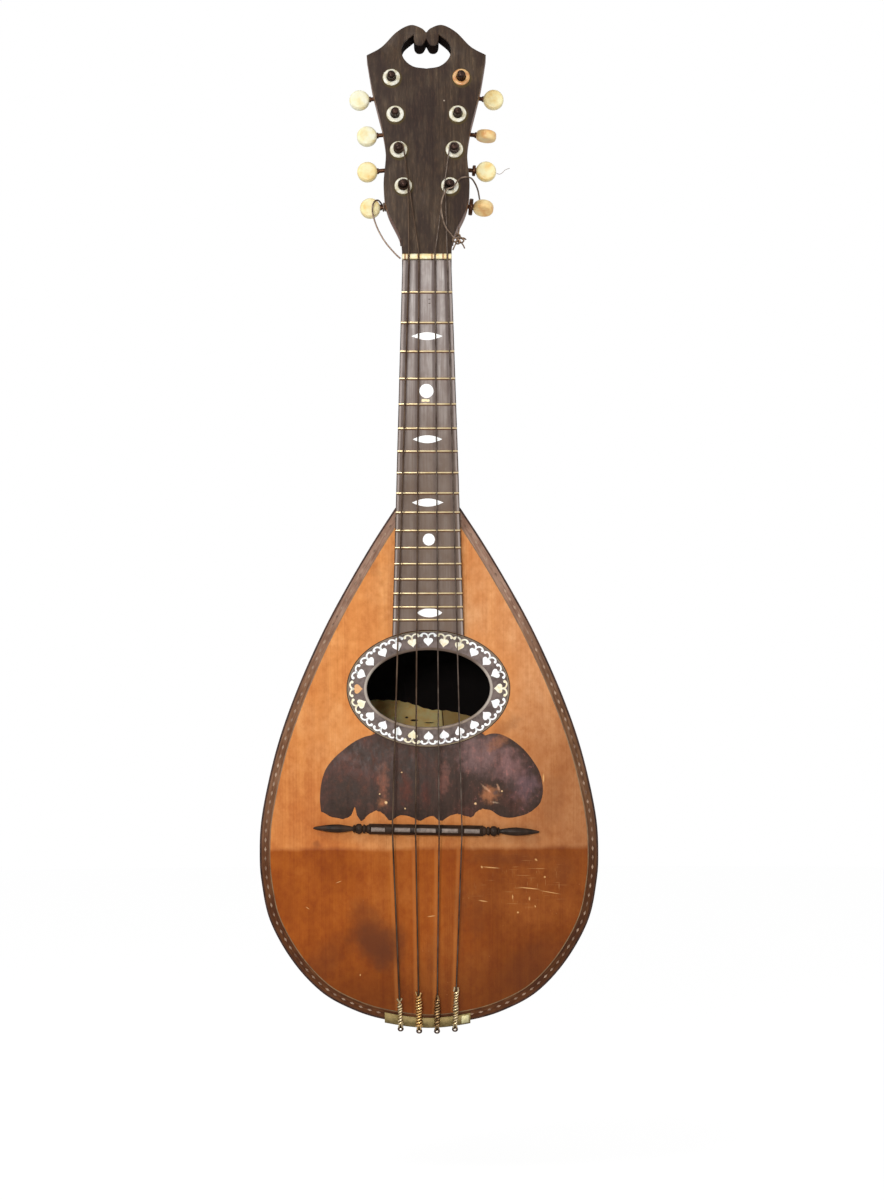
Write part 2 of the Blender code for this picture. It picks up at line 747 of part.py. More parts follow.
def head_outline(foot):
    """Outline of the peghead above its foot."""
    side = [p for p in catmull(HEAD_SIDE, 2) if p[1] > foot + 1.0]
    foot_x = float(np.interp(foot, [p[1] for p in HEAD_SIDE], [p[0] for p in HEAD_SIDE]))
    half = [(foot_x, foot)] + side[:-1] + catmull(HEAD_TOP, 3)
    half[-1] = (0.0, half[-1][1])
    return half + [(-x, y) for x, y in reversed(half[:-1])]


def cutout_outline():
    half = catmull(CUTOUT_LOW, 2) + CUTOUT_LOBE
    half[0] = (0.0, half[0][1])
    return half + [(-x, y) for x, y in reversed(half[1:-1])]


def post_places():
    for side_name, side in (("left", -1.0), ("right", 1.0)):
        for row, (x, up) in enumerate(POST_PLACES):
            yield side_name, side, row, side * x, up


def post_holes(radius, front, back, sides=10):
    holes = []
    for _, _, _, x, up in post_places():
        holes.append(plate_mesh([ellipse(radius, radius, sides, (x, up))], front, back))
    return joined_mesh(holes)


def neck_arc(half, depth, power, count=12):
    """The back of a neck section, as half of a rounded rectangle."""
    arc = []
    for i in range(count + 1):
        angle = math.pi * i / count
        cosine, sine = math.cos(angle), max(math.sin(angle), 0.0)
        across = math.copysign(abs(cosine) ** (2.0 / power), cosine)
        arc.append((across * half, sine ** (2.0 / power) * depth))
    return arc


NECK_SECTIONS = [
    (BODY_JOINT_Z + GAP, 18.2, 32.6, 2.2),
    (-137.0, 18.1, 29.0, 2.2),
    (-130.0, 18.0, 23.8, 2.2),
    (-122.0, 17.8, 19.8, 2.25),
    (-112.0, 17.5, 17.6, 2.3),
    (-90.0, 16.8, 16.6, 2.3),
    (-50.0, 15.6, 15.5, 2.3),
    (-16.0, 14.55, 14.8, 2.3),
    (-5.0, 14.2, 14.9, 2.6),
]
NECK_FOOT = 9.0


def make_neck():
    """Heel, shaft and peghead core in one piece."""
    sections = []
    for z, half, depth, power in NECK_SECTIONS:
        sections.append([(x, y, z) for x, y in neck_arc(half, depth, power)])
    core = HEAD_THICKNESS - VENEER - GAP
    for up, half, inset, power in ((4.0, 14.3, 0.0, 5.0), (NECK_FOOT + 3.0, 15.2, 0.25, 9.0)):
        section = []
        for x, deep in neck_arc(half, core - 2 * inset, power):
            section.append(head_point(x, up, -VENEER - GAP - inset - deep))
        sections.append(section)
    neck = link("neck", loft(sections), NECK_WOOD)
    head = plate_mesh([head_outline(NECK_FOOT)], -VENEER - GAP, -HEAD_THICKNESS)
    boolean(neck, head, "UNION", "peghead_core", HEAD_FRAME)
    boolean(neck, plate_mesh([cutout_outline()], 5.0, -25.0), "DIFFERENCE", "cut_head_cutout", HEAD_FRAME)
    boolean(neck, post_holes(POST_RADIUS + 0.5, 5.0, -25.0), "DIFFERENCE", "cut_post_bores", HEAD_FRAME)


COLLAR_RADIUS = 5.05
COLLAR_HEIGHT = 0.7


def make_head_veneer():
    veneer = link("head_veneer", plate_mesh([head_outline(0.0)], 0.0, -VENEER), DARK_WOOD, HEAD_FRAME)
    boolean(veneer, post_holes(COLLAR_RADIUS, COLLAR_HEIGHT, -1.0), "UNION", "post_collars", HEAD_FRAME)
    boolean(veneer, plate_mesh([cutout_outline()], 5.0, -8.0), "DIFFERENCE", "cut_veneer_cutout", HEAD_FRAME)
    boolean(veneer, post_holes(POST_RADIUS + 0.5, 5.0, -8.0), "DIFFERENCE", "cut_collar_bores", HEAD_FRAME)


def fret_z(number):
    return -SCALE_LENGTH * (1.0 - 2.0 ** (-number / 12.0))


def board_half(z):
    return (BOARD_WIDTHS[0] + (BOARD_WIDTHS[1] - BOARD_WIDTHS[0]) * z / FINGERBOARD_END_Z) / 2


def make_fingerboard():
    """The side profile has the frets on it, and the end is hollowed to follow the rosette."""
    front = -FINGERBOARD - GAP
    end = HOLE_Z + ROSETTE[1] * 0.8
    profile = [(-GAP, -GAP), (-GAP, front)]
    for number in range(1, FRET_COUNT + 1):
        z = fret_z(number)
        profile += [(z + FRET_WIDTH / 2, front), (z + FRET_WIDTH / 2 - 0.2, front - FRET_HEIGHT),
                    (z - FRET_WIDTH / 2 + 0.2, front - FRET_HEIGHT), (z - FRET_WIDTH / 2, front)]
    profile += [(end, front), (end, -GAP)]
    sections = [[(side * board_half(z), y, z) for z, y in profile] for side in (-1.0, 1.0)]
    board = link("fingerboard", loft(sections), DARK_WOOD)
    hollow = plate_mesh([ellipse(ROSETTE[0] + 0.5, ROSETTE[1] + 0.5, 40, (0.0, HOLE_Z))], 20.0, -9.0)
    boolean(board, hollow, "DIFFERENCE", "cut_board_end", BODY_FRAME)


def make_nut():
    half = BOARD_WIDTHS[0] / 2 + 0.1
    top = NUT_HEIGHT + GAP
    nut = link("nut", box_mesh((-half, 0.0, GAP), (half, NUT_LENGTH, top)), BONE, BODY_FRAME)
    rounding = nut.modifiers.new("rounded", "BEVEL")
    rounding.width = 0.4 * MM
    rounding.segments = 1
    slots = []
    for _, _, x, radius, _ in STRINGS:
        for shift in (-0.9, 0.9):
            slots.append(box_mesh((x + shift - 0.35, -3.0, top - 0.5), (x + shift + 0.35, 7.0, top + 3.0)))
    boolean(nut, joined_mesh(slots), "DIFFERENCE", "cut_string_slots", BODY_FRAME)


# Tuning machines. Every post has a gear, and a worm on the key's shaft turns it

def gear_mesh():
    """A wheel whose teeth are slanted by the worm's lead angle."""
    step = 2 * math.pi / GEAR_TEETH
    tip = GEAR_TIP_WIDTH / 2 / GEAR_TIP_RADIUS
    lead = WORM_PITCH / (2 * math.pi * WORM_PITCH_RADIUS)
    twist = GEAR_THICKNESS * lead / GEAR_PITCH_RADIUS
    corners = ((GEAR_ROOT_RADIUS, -step / 2), (GEAR_TIP_RADIUS, -tip), (GEAR_TIP_RADIUS, tip))
    sections = []
    for share in (-0.5, 0.5):
        section = []
        for tooth in range(GEAR_TEETH):
            middle = (tooth + 0.5) * step + share * twist
            for radius, offset in corners:
                angle = middle + offset
                section.append((radius * math.cos(angle), radius * math.sin(angle),
                                -GEAR_DEPTH + share * GEAR_THICKNESS))
        sections.append(section)
    return loft(sections)


def post_mesh():
    """A string post with its gear, about the local Z axis. Angle zero points at a gap between teeth."""
    low = -GEAR_DEPTH - GEAR_THICKNESS / 2 - 0.9
    profile = [(0.0, POST_REACH), (1.7, POST_REACH), (POST_RADIUS, POST_REACH - 0.8),
               (POST_RADIUS, low + 0.4), (2.1, low), (0.0, low)]
    body = bpy.data.objects.new("post_blank", turned_mesh(profile, 10))
    CUTTERS.objects.link(body)
    boolean(body, gear_mesh(), "UNION", "gear_wheel", Matrix.Identity(4))
    mesh = mesh_of(body)
    for item in (bpy.data.objects["gear_wheel"], body):
        bpy.data.objects.remove(item, do_unlink=True)
    return mesh


def shaft_mesh(reach):
    """A worm on its shaft, about the local Z axis, with a thread crest towards local X at the middle."""
    sides = len(WORM_RADII)
    rise = WORM_PITCH / sides
    half = sides * WORM_TURNS // 2
    plain = [SHAFT_RADIUS] * sides
    sections = []

    def ring(height, radii):
        angles = [2 * math.pi * k / sides for k in range(sides)]
        sections.append([(r * math.cos(a), r * math.sin(a), height) for r, a in zip(radii, angles)])

    ring(-SHAFT_FOOT, plain)
    ring(-half * rise - WORM_RUNOUT, plain)
    for step in range(-half, half + 1):
        ring(step * rise, [WORM_RADII[(k - step) % sides] for k in range(sides)])
    ring(half * rise + WORM_RUNOUT, plain)
    ring(reach, plain)
    return loft(sections)


def button_mesh():
    """A round button with a broad chamfer on both faces."""
    half = BUTTON_THICKNESS / 2
    face, edge = BUTTON_FACE
    upper = [(0.0, half), (face, half), (BUTTON_RADIUS, edge)]
    lower = [(radius, -height) for radius, height in reversed(upper)]
    return turned_mesh(upper + lower, 12)


def key_frame(side, x, up):
    """The shaft's own frame: Z outwards along it, X towards the gear, at the middle of the worm."""
    out = Vector((side * math.cos(KEY_SLANT), -math.sin(KEY_SLANT), 0.0))
    to_gear = Vector((side * math.sin(KEY_SLANT), math.cos(KEY_SLANT), 0.0))
    third = out.cross(to_gear)
    turn = Matrix((to_gear, third, out)).transposed().to_4x4()
    centre = Vector((x, up, -GEAR_DEPTH)) - to_gear * WORM_DISTANCE
    return Matrix.Translation(centre * MM) @ turn


def make_posts_and_keys():
    post = post_mesh()
    button = button_mesh()
    shafts = {reach: shaft_mesh(reach - BUTTON_RADIUS - GAP) for reach in KEY_REACH}
    for side_name, side, row, x, up in post_places():
        number = row + 1
        frame = HEAD_FRAME @ key_frame(side, x, up)
        down = frame.to_3x3() @ Vector((-1.0, 0.0, 0.0))
        local = HEAD_FRAME.to_3x3().inverted() @ down
        phase = Matrix.Rotation(math.atan2(local.y, local.x), 4, "Z")
        place = HEAD_FRAME @ Matrix.Translation(Vector((x, up, 0.0)) * MM) @ phase
        link(f"string_post_{side_name}_{number}", post.copy(), DARK_BRASS, place)
        link(f"worm_shaft_{side_name}_{number}", shafts[KEY_REACH[row]].copy(), DARK_BRASS, frame)
        turn = math.radians(KEY_TURN[side_name][row])
        flat = (Matrix.Translation((0.0, 0.0, KEY_REACH[row] * MM)) @ Matrix.Rotation(turn, 4, "Z")
                @ Matrix.Rotation(math.radians(90.0), 4, "X"))
        link(f"button_{side_name}_{number}", button.copy(), IVORY, frame @ flat)


PLATE_THICKNESS = 1.2
PLATE_MARGIN = 5.5
PLATE_BELOW = 13.0
PLATE_ABOVE = 7.5
LUG_PLACES = (-5.6, 5.0)
LUG_THICKNESS = 1.4
LUG_SIDES = (-2.3, 2.0)
LUG_BEYOND = 2.2
LUG_BORE = 1.6


def lug_and_bore(place, rise, turned_over):
    """A lug on a shaft's frame, which rises to the plate, and the bore through it."""
    low, high = -LUG_BEYOND, rise + 0.5
    if turned_over:
        low, high = -high, -low
    half = LUG_THICKNESS / 2
    lug = box_mesh((LUG_SIDES[0], low, place - half), (LUG_SIDES[1], high, place + half))
    ends = (place + LUG_THICKNESS, place - LUG_THICKNESS)
    bore = turned_mesh([(0.0, ends[0]), (LUG_BORE, ends[0]), (LUG_BORE, ends[1]), (0.0, ends[1])], 6)
    return lug, bore


def make_tuner_plate(side_name, side):
    """A back plate with eight lugs that hold the four key shafts."""
    front = -HEAD_THICKNESS - GAP
    back = front - PLATE_THICKNESS
    rows = [(side * x, up) for x, up in POST_PLACES]
    top, low = Vector(rows[0]), Vector(rows[-1])
    along = (top - low).normalized()
    across = Vector((along.y, -along.x)) * PLATE_MARGIN
    foot = low - along * PLATE_BELOW
    crown = top + along * PLATE_ABOVE
    corners = [tuple(c) for c in (foot - across, foot + across, crown + across, crown - across)]
    plate = link(f"tuner_plate_{side_name}", plate_mesh([corners], front, back), BRASS, HEAD_FRAME)
    lugs, bores = [], []
    for x, up in rows:
        frame = key_frame(side, x, up)
        turned_over = (frame.to_3x3() @ Vector((0.0, 1.0, 0.0))).z < 0
        for place in LUG_PLACES:
            lug, bore = lug_and_bore(place, GEAR_DEPTH + back, turned_over)
            lugs.append(moved_mesh(lug, frame))
            bores.append(moved_mesh(bore, frame))
    boolean(plate, joined_mesh(lugs), "UNION", f"lugs_{side_name}", HEAD_FRAME)
    boolean(plate, joined_mesh(bores), "DIFFERENCE", f"cut_lug_bores_{side_name}", HEAD_FRAME)
    holes = [plate_mesh([ellipse(3.0, 3.0, 12, place)], 5.0, -25.0) for place in rows]
    boolean(plate, joined_mesh(holes), "DIFFERENCE", f"cut_plate_holes_{side_name}", HEAD_FRAME)


# Strings and broken wire ends

WIND_STEPS = 10
WIND_TURNS = {2: 2.0, 3: 1.1}
WIND_FRONT = {2: 4.7, 3: 3.3}


def string_points(tail_x, bridge_x, nut_x, radius, post):
    """The way of a string from its pin over the bridge and the nut and round its post."""
    edge = tail_rim(tail_x, TAIL_GAP + PLATE)
    lift = GAP + radius
    tail_y = bend(edge) - GAP - PLATE - lift
    bridge_y = -GAP - BRIDGE_BAR[2] - lift
    nut_y = -GAP - NUT_HEIGHT - lift
    beyond = edge - lift - 0.1
    pin_y = bend(edge) + PIN_DEPTH - 0.8 - GAP
    points = [(tail_x, pin_y - 0.4, beyond), (tail_x, tail_y + lift + 1.4, beyond),
              (tail_x, tail_y + 0.35, beyond + 0.45), (tail_x, tail_y, edge + 1.0)]
    for share in (0.12, 0.16):
        points.append((tail_x + (bridge_x - tail_x) * share, tail_y + (bridge_y - tail_y) * share,
                       edge + (BRIDGE_Z - edge) * share))
    tilt = math.tan(BRIDGE_TILT) * (bridge_x - BRIDGE_X)
    points += [(bridge_x, bridge_y, BRIDGE_Z - tilt), (nut_x, nut_y, 0.4), (nut_x, nut_y, 3.1)]
    side_name, row = post
    side = -1.0 if side_name == "left" else 1.0
    x, up = POST_PLACES[row]
    around = POST_RADIUS + GAP + radius + 0.12
    pitch = 2 * radius + 0.48
    start = math.pi if side > 0 else 0.0
    for i in range(int(WIND_TURNS[row] * WIND_STEPS) + 1):
        share = i / WIND_STEPS
        angle = start - side * share * 2 * math.pi
        across, along = side * x + around * math.cos(angle), up + around * math.sin(angle)
        points.append(tuple(head_point(across, along, WIND_FRONT[row] - pitch * share)))
    return points


def make_strings():
    """Each string is thicker just past its pin, where the loop's end is twisted round it."""
    for number, (tail_x, bridge_x, nut_x, radius, post) in enumerate(STRINGS, 1):
        points = string_points(tail_x, bridge_x, nut_x, radius, post)
        twisted = 1.05 * radius + 0.14
        radii = [1.0] * len(points)
        for i in (3, 4):
            radii[i] = twisted / radius
        link(f"string_{number}", tube_mesh(points, radius, radii), WIRE)


WIRE_RADIUS = 0.4
LOOSE_RIGHT = [(18.9, 6.2, -0.5), (17.6, 8.4, 0.8), (16.8, 12.0, 1.0), (18.6, 10.8, -0.8), (21.0, 8.6, -0.6),
               (19.0, 8.6, 2.6), (15.8, 8.2, 3.6), (13.4, 10.6, 5.0), (11.2, 13.2, 6.1), (9.4, 18.0, 6.4),
               (8.4, 24.5, 6.6), (8.9, 30.5, 6.7), (11.6, 36.2, 6.7), (15.3, 37.8, 6.7), (17.1, 40.4, 6.7),
               (19.2, 43.2, 5.6), (22.4, 44.6, 4.2), (25.6, 44.6, 2.2), (27.8, 43.2, -2.4),
               (29.6, 40.6, -7.8), (30.6, 36.6, -12.4)]
LOOSE_LEFT = [(-15.3, -2.0, -2.6), (-18.5, 1.5, -3.8), (-24.0, 9.0, -6.0), (-28.3, 17.5, -8.0),
              (-30.9, 26.0, -10.0), (-31.4, 31.5, -11.2), (-30.2, 35.4, -12.0), (-28.0, 36.6, -13.6)]
SHAFT_LOOP_PLACE = 12.9
SHAFT_LOOP_START = math.radians(27.0)
SHAFT_LOOP_PITCH = 1.25
SHAFT_LOOP_STEPS = 9
SHAFT_LOOP_POINTS = 14


def make_loose_wires():
    """Broken wire ends at the lowest pair of posts. The left one is looped round a key's shaft."""
    right = [tuple(head_point(*p)) for p in LOOSE_RIGHT]
    link("loose_wire_right", tube_mesh(right, WIRE_RADIUS), WIRE)
    left = list(LOOSE_LEFT)
    x, up = POST_PLACES[3]
    frame = key_frame(-1.0, -x, up)
    around = SHAFT_RADIUS + GAP + WIRE_RADIUS + 0.25
    for i in range(SHAFT_LOOP_POINTS):
        turns = i / SHAFT_LOOP_STEPS
        angle = SHAFT_LOOP_START + 2 * math.pi * turns
        reach = SHAFT_LOOP_PLACE - SHAFT_LOOP_PITCH * turns
        place = Vector((around * math.cos(angle), around * math.sin(angle), reach))
        left.append(tuple(frame @ (place * MM) / MM))
    link("loose_wire_left", tube_mesh([tuple(head_point(*p)) for p in left], WIRE_RADIUS), WIRE)


def make_all():
    make_ribs()
    make_end_clasp()
    make_block("neck_block", (0.0, 1.0, 2.0))
    make_block("tail_block", (13.55, 14.0, RIB_END))
    make_linings()
    for name, z in BRACE_PLACES.items():
        make_brace(name, z)
    make_soundboard()
    make_rosette()
    make_pickguard()
    make_edge_binding()
    make_bridge()
    make_tailpiece()
    make_neck()
    make_head_veneer()
    make_fingerboard()
    make_nut()
    make_posts_and_keys()
    make_tuner_plate("left", -1.0)
    make_tuner_plate("right", 1.0)
    make_strings()
    make_loose_wires()


make_all()
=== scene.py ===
import math

import bmesh
import bpy
import numpy as np
from mathutils import Matrix, Vector


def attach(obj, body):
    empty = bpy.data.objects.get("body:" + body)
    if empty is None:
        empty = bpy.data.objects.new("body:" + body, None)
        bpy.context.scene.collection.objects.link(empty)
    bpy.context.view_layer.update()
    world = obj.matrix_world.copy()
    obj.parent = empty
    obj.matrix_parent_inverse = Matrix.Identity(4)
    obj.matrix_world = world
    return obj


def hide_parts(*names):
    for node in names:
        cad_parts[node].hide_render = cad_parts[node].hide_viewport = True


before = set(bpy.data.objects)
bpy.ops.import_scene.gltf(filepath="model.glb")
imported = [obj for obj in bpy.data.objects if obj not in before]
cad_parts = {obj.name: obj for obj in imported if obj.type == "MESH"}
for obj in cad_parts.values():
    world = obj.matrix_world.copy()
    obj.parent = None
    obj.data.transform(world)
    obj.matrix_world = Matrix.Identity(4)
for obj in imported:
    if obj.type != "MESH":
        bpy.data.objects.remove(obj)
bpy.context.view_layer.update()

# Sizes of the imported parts, in millimetres
MM = 0.001
SCALE_LENGTH = 330.0
FRET_COUNT = 17
BODY_JOINT_Z = -142.0
BEND_Z = -338.6
CANT = math.radians(6.5)
BOARD = 2.6
BAND_WIDTH = 6.2
BAND_OVERHANG = 1.6
RIB_COUNT = 11
RIB_THICKNESS = 2.2
BOWL_POWER = 2.15
BODY_STEPS = 17
RIM_DEPTH = 2.9

# The body from neck to tail: z, half width, depth of the bowl
BODY_POINTS = [
    (-142.0, 18.6, 30.0), (-162.0, 31.6, 46.0), (-183.6, 44.5, 63.0), (-206.6, 57.2, 81.0),
    (-229.5, 68.2, 98.0), (-252.5, 77.9, 113.0), (-275.5, 86.0, 125.0), (-298.5, 92.0, 133.5),
    (-321.4, 96.3, 138.5), (-340.0, 97.3, 140.0), (-356.4, 96.4, 138.5), (-379.4, 91.6, 131.5),
    (-402.6, 79.0, 113.5), (-420.6, 62.7, 90.0), (-430.8, 45.2, 65.0), (-437.0, 26.1, 37.5),
    (-440.3, 0.0, 0.0),
]

HOLE_Z = -246.0
ROSETTE = (47.0, 33.7)
SOUND_HOLE = (35.4, 22.1)
BOARD_WIDTHS = (28.0, 41.0)
FINGERBOARD_FRONT = 4.8
FINGERBOARD_END_Z = -213.4
NUT_FRONT = 6.6
HEAD_TILT = math.radians(13.0)
HEAD_FOOT = (0.0, -1.6, 3.8)
VENEER = 1.6
HEAD_THICKNESS = 15.0
POST_PLACES = [(20.2, 106.9), (18.1, 84.5), (16.1, 62.9), (13.45, 40.9)]
POST_RADIUS = 2.5
KEY_REACH = [19.5, 17.2, 19.0, 20.0]
KEY_SLANT = math.radians(5.8)
KEY_TURN = {"left": (0.0, 0.0, 0.0, 0.0), "right": (0.0, 90.0, 0.0, 72.0)}
GEAR_TEETH = 14
GEAR_PITCH_RADIUS = 3.9
GEAR_TIP_RADIUS = 4.25
GEAR_ROOT_RADIUS = 3.2
GEAR_THICKNESS = 2.0
GEAR_DEPTH = 19.2
WORM_DISTANCE = 5.4
WORM_PITCH = 2 * math.pi * GEAR_PITCH_RADIUS / GEAR_TEETH
SHAFT_RADIUS = 1.25
BUTTON_RADIUS = 5.95
BRIDGE_Z = -327.0
BRIDGE_X = -1.5
BRIDGE_TILT = math.radians(1.2)
BRIDGE_BAR = (65.7, 6.0, 8.5)
TAIL_X = -1.2
TAIL_HALF = 24.7
TAIL_END_Z = -440.0
TAIL_FRONT = -1.3

# Strings: x at the tail, at the bridge and at the nut, wire radius, and the post that each one winds on
STRINGS = [
    (-16.8, -20.9, -10.2, 0.5, ("left", 3)),
    (-6.1, -7.6, -4.5, 0.45, ("left", 2)),
    (4.2, 5.9, 4.7, 0.4, ("right", 2)),
    (14.6, 19.0, 11.7, 0.4, ("right", 3)),
]


def smoothstep(value):
    value = min(max(value, 0.0), 1.0)
    return value * value * (3.0 - 2.0 * value)


def catmull(points, steps):
    """A smooth curve through points, with steps stretches between each pair."""
    points = [np.array(p, float) for p in points]
    padded = [2 * points[0] - points[1]] + points + [2 * points[-1] - points[-2]]
    curve = []
    for i in range(len(points) - 1):
        a, b, c, d = padded[i:i + 4]
        for k in range(steps):
            t = k / steps
            curve.append(0.5 * (2 * b + (c - a) * t + (2 * a - 5 * b + 4 * c - d) * t ** 2
                                + (3 * b - a - 3 * c + d) * t ** 3))
    curve.append(points[-1])
    return [tuple(p) for p in curve]


def ellipse(half_x, half_y, count, centre=(0.0, 0.0), start=0.0, sweep=2 * math.pi):
    angles = [start + sweep * i / count for i in range(count)]
    return [(centre[0] + half_x * math.cos(a), centre[1] + half_y * math.sin(a)) for a in angles]


def move(x, y, z):
    return Matrix.Translation(Vector((x, y, z)) * MM)


def turn(degrees, axis):
    return Matrix.Rotation(math.radians(degrees), 4, axis)


# Frames that flat pieces are drawn in: x across, y up the instrument, z out of the front
BODY_FRAME = turn(90.0, "X")
HEAD_FRAME = move(*HEAD_FOOT) @ Matrix.Rotation(math.radians(90.0) - HEAD_TILT, 4, "X")


def head_point(x, up, front):
    return HEAD_FRAME @ (Vector((x, up, front)) * MM) / MM


# Materials

class Shade:
    """A number or colour that a material's nodes work out. Signs and methods add more nodes."""

    def __init__(self, paint, socket):
        self.paint = paint
        self.socket = socket

    def __add__(self, other):
        return self.paint.number("ADD", self, other)

    def __sub__(self, other):
        return self.paint.number("SUBTRACT", self, other)

    def __mul__(self, other):
        return self.paint.number("MULTIPLY", self, other)

    def __abs__(self):
        return self.paint.number("ABSOLUTE", self)

    def larger(self, other):
        return self.paint.number("MAXIMUM", self, other)

    def span(self, low, high, to_low=0.0, to_high=1.0):
        """A value that goes smoothly from one level to another while this one goes from low to high."""
        node = self.paint.node("ShaderNodeMapRange", "Value", self)
        node.interpolation_type = "SMOOTHSTEP"
        for name, number in (("From Min", low), ("From Max", high), ("To Min", to_low), ("To Max", to_high)):
            node.inputs[name].default_value = number
        return Shade(self.paint, node.outputs["Result"])

    def ramp(self, *stops):
        """Colours in between those of the stops, by this value from 0 to 1."""
        node = self.paint.node("ShaderNodeValToRGB", "Fac", self)
        band = node.color_ramp
        while len(band.elements) < len(stops):
            band.elements.new(0.5)
        for element, (position, colour) in zip(band.elements, stops):
            element.position = position
            element.color = (*colour, 1.0)
        return Shade(self.paint, node.outputs["Color"])

    def mix(self, share, other, blend="MIX"):
        """This colour with a share of another one over it."""
        node = self.paint.node("ShaderNodeMix", 0, share)
        node.data_type = "RGBA"
        node.blend_type = blend
        self.paint.put(node.inputs[6], self)
        self.paint.put(node.inputs[7], other)
        return Shade(self.paint, node.outputs[2])

    def tint(self, share, other):
        """This colour, multiplied by another one to a share."""
        return self.mix(share, other, "MULTIPLY")


class Paint:
    """A material and its nodes. Sizes and places are in millimetres of the instrument's own frame."""

    def __init__(self, name, metallic=0.0, coat=0.0, specular=0.5):
        self.material = bpy.data.materials.new(f"{name}_finish")
        self.material.use_nodes = True
        self.nodes = self.material.node_tree.nodes
        self.links = self.material.node_tree.links
        self.shader = self.nodes["Principled BSDF"]
        for socket, level in (("Metallic", metallic), ("Coat Weight", coat), ("Coat Roughness", 0.25),
                              ("Specular IOR Level", specular)):
            self.shader.inputs[socket].default_value = level
        source = self.nodes.new("ShaderNodeTexCoord")
        self.place = source.outputs["Object"]
        self.uv = source.outputs["UV"]
        self.whole = source.outputs["Generated"]
        self.normal = source.outputs["Normal"]

    def put(self, socket, value):
        if isinstance(value, Shade):
            self.links.new(value.socket, socket)
        elif isinstance(value, tuple) and socket.type == "RGBA":
            socket.default_value = (*value, 1.0)
        else:
            socket.default_value = value

    def node(self, kind, socket, value):
        """A new node with one of its inputs filled."""
        made = self.nodes.new(kind)
        self.put(made.inputs[socket], value if isinstance(value, (Shade, float)) else Shade(self, value))
        return made

    def number(self, operation, a, b=0.0):
        node = self.node("ShaderNodeMath", 0, a)
        node.operation = operation
        self.put(node.inputs[1], b)
        return Shade(self, node.outputs["Value"])

    def noise(self, size, detail=3.0, rough=0.55, source=None, shift=0.0, distort=0.0):
        """Noise from 0 to 1, with features of a size along x, y and z."""
        place = self.node("ShaderNodeMapping", "Vector", source or self.place)
        place.inputs["Scale"].default_value = [1.0 / (MM * s) for s in size]
        place.inputs["Location"].default_value = (shift, shift * 1.7, shift * 0.6)
        node = self.node("ShaderNodeTexNoise", "Vector", place.outputs["Vector"])
        for name, level in (("Scale", 1.0), ("Detail", detail), ("Roughness", rough),
                            ("Distortion", distort)):
            node.inputs[name].default_value = level
        return Shade(self, node.outputs["Fac"])

    def axis(self, name):
        """How far along an axis a point is."""
        node = self.node("ShaderNodeSeparateXYZ", "Vector", self.place)
        return Shade(self, node.outputs[name]) * (1.0 / MM)

    def facing(self, name):
        """How far the surface faces along an axis, from -1 to 1."""
        return Shade(self, self.node("ShaderNodeSeparateXYZ", "Vector", self.normal).outputs[name])

    def spot(self, centre, radii, degrees=0.0, soft=0.5, wobble=0.0):
        """A mask that is 1 inside an ellipse of the front plane and 0 outside it."""
        place = self.node("ShaderNodeMapping", "Vector", self.place)
        place.vector_type = "TEXTURE"
        place.inputs["Scale"].default_value = (MM * radii[0], MM * 1e6, MM * radii[1])
        place.inputs["Location"].default_value = (MM * centre[0], 0.0, MM * centre[1])
        place.inputs["Rotation"].default_value = (0.0, math.radians(degrees), 0.0)
        node = self.node("ShaderNodeVectorMath", 0, place.outputs["Vector"])
        node.operation = "LENGTH"
        length = Shade(self, node.outputs["Value"])
        if wobble:
            size = min(radii) * 0.7
            length = length + (self.noise((size, size, size), 3.0, 0.6, shift=centre[0]) - 0.5) * wobble
        return length.span(1.0 - soft, 1.0, 1.0, 0.0)

    def finish(self, colour, roughness, *bumps):
        """Set the colour and roughness, and add bumps: height value and depth in millimetres."""
        self.put(self.shader.inputs["Base Color"], colour)
        self.put(self.shader.inputs["Roughness"], roughness)
        target = self.shader.inputs["Normal"]
        for height, depth in reversed(bumps):
            node = self.node("ShaderNodeBump", "Height", height)
            node.inputs["Strength"].default_value = 1.0
            node.inputs["Distance"].default_value = depth * MM
            self.links.new(node.outputs["Normal"], target)
            target = node.inputs["Normal"]
        return self.material


# Tones of the soundboard from dark to light: pale above the bend, grey where a reflection is painted on its
# upper right, brown below the bend, and dull on its lower right, partly painted shade
SPRUCE_TONES = [
    ((0.64, 0.205, 0.036), (0.73, 0.280, 0.070), (0.84, 0.39, 0.140)),
    ((0.58, 0.255, 0.092), (0.74, 0.36, 0.155), (0.86, 0.48, 0.240)),
    ((0.29, 0.060, 0.002), (0.38, 0.090, 0.006), (0.46, 0.132, 0.018)),
    ((0.165, 0.036, 0.002), (0.225, 0.051, 0.003), (0.32, 0.088, 0.012)),
]

# Bright scratches and dents of the lower soundboard: x, z, half length, half width, degrees
SCRATCHES = [
    (35.5, -348.9, 6.4, 0.42, 5.0), (30.3, -348.6, 1.0, 0.7, 60.0), (57.5, -361.0, 7.6, 0.45, 6.0),
    (69.5, -363.4, 7.6, 0.3, 10.0), (31.0, -368.3, 3.4, 0.4, 9.0), (1.2, -377.0, 2.9, 0.42, -6.0),
    (57.6, -367.0, 0.6, 1.4, 0.0), (48.0, -366.0, 0.5, 1.8, 0.0), (61.0, -371.5, 0.5, 0.9, -20.0),
    (66.5, -354.5, 0.8, 0.8, 0.0), (61.5, -344.5, 1.2, 0.7, 40.0), (51.0, -375.0, 0.8, 0.8, 0.0),
    (60.5, -415.0, 1.3, 0.8, -20.0), (-39.9, -411.0, 0.5, 0.8, 0.0), (65.9, -297.6, 0.7, 3.2, 0.0),
    (40.5, -293.0, 1.3, 0.5, 20.0), (-52.0, -357.0, 2.2, 0.3, -20.0), (-70.0, -372.0, 1.6, 0.3, 35.0),
]

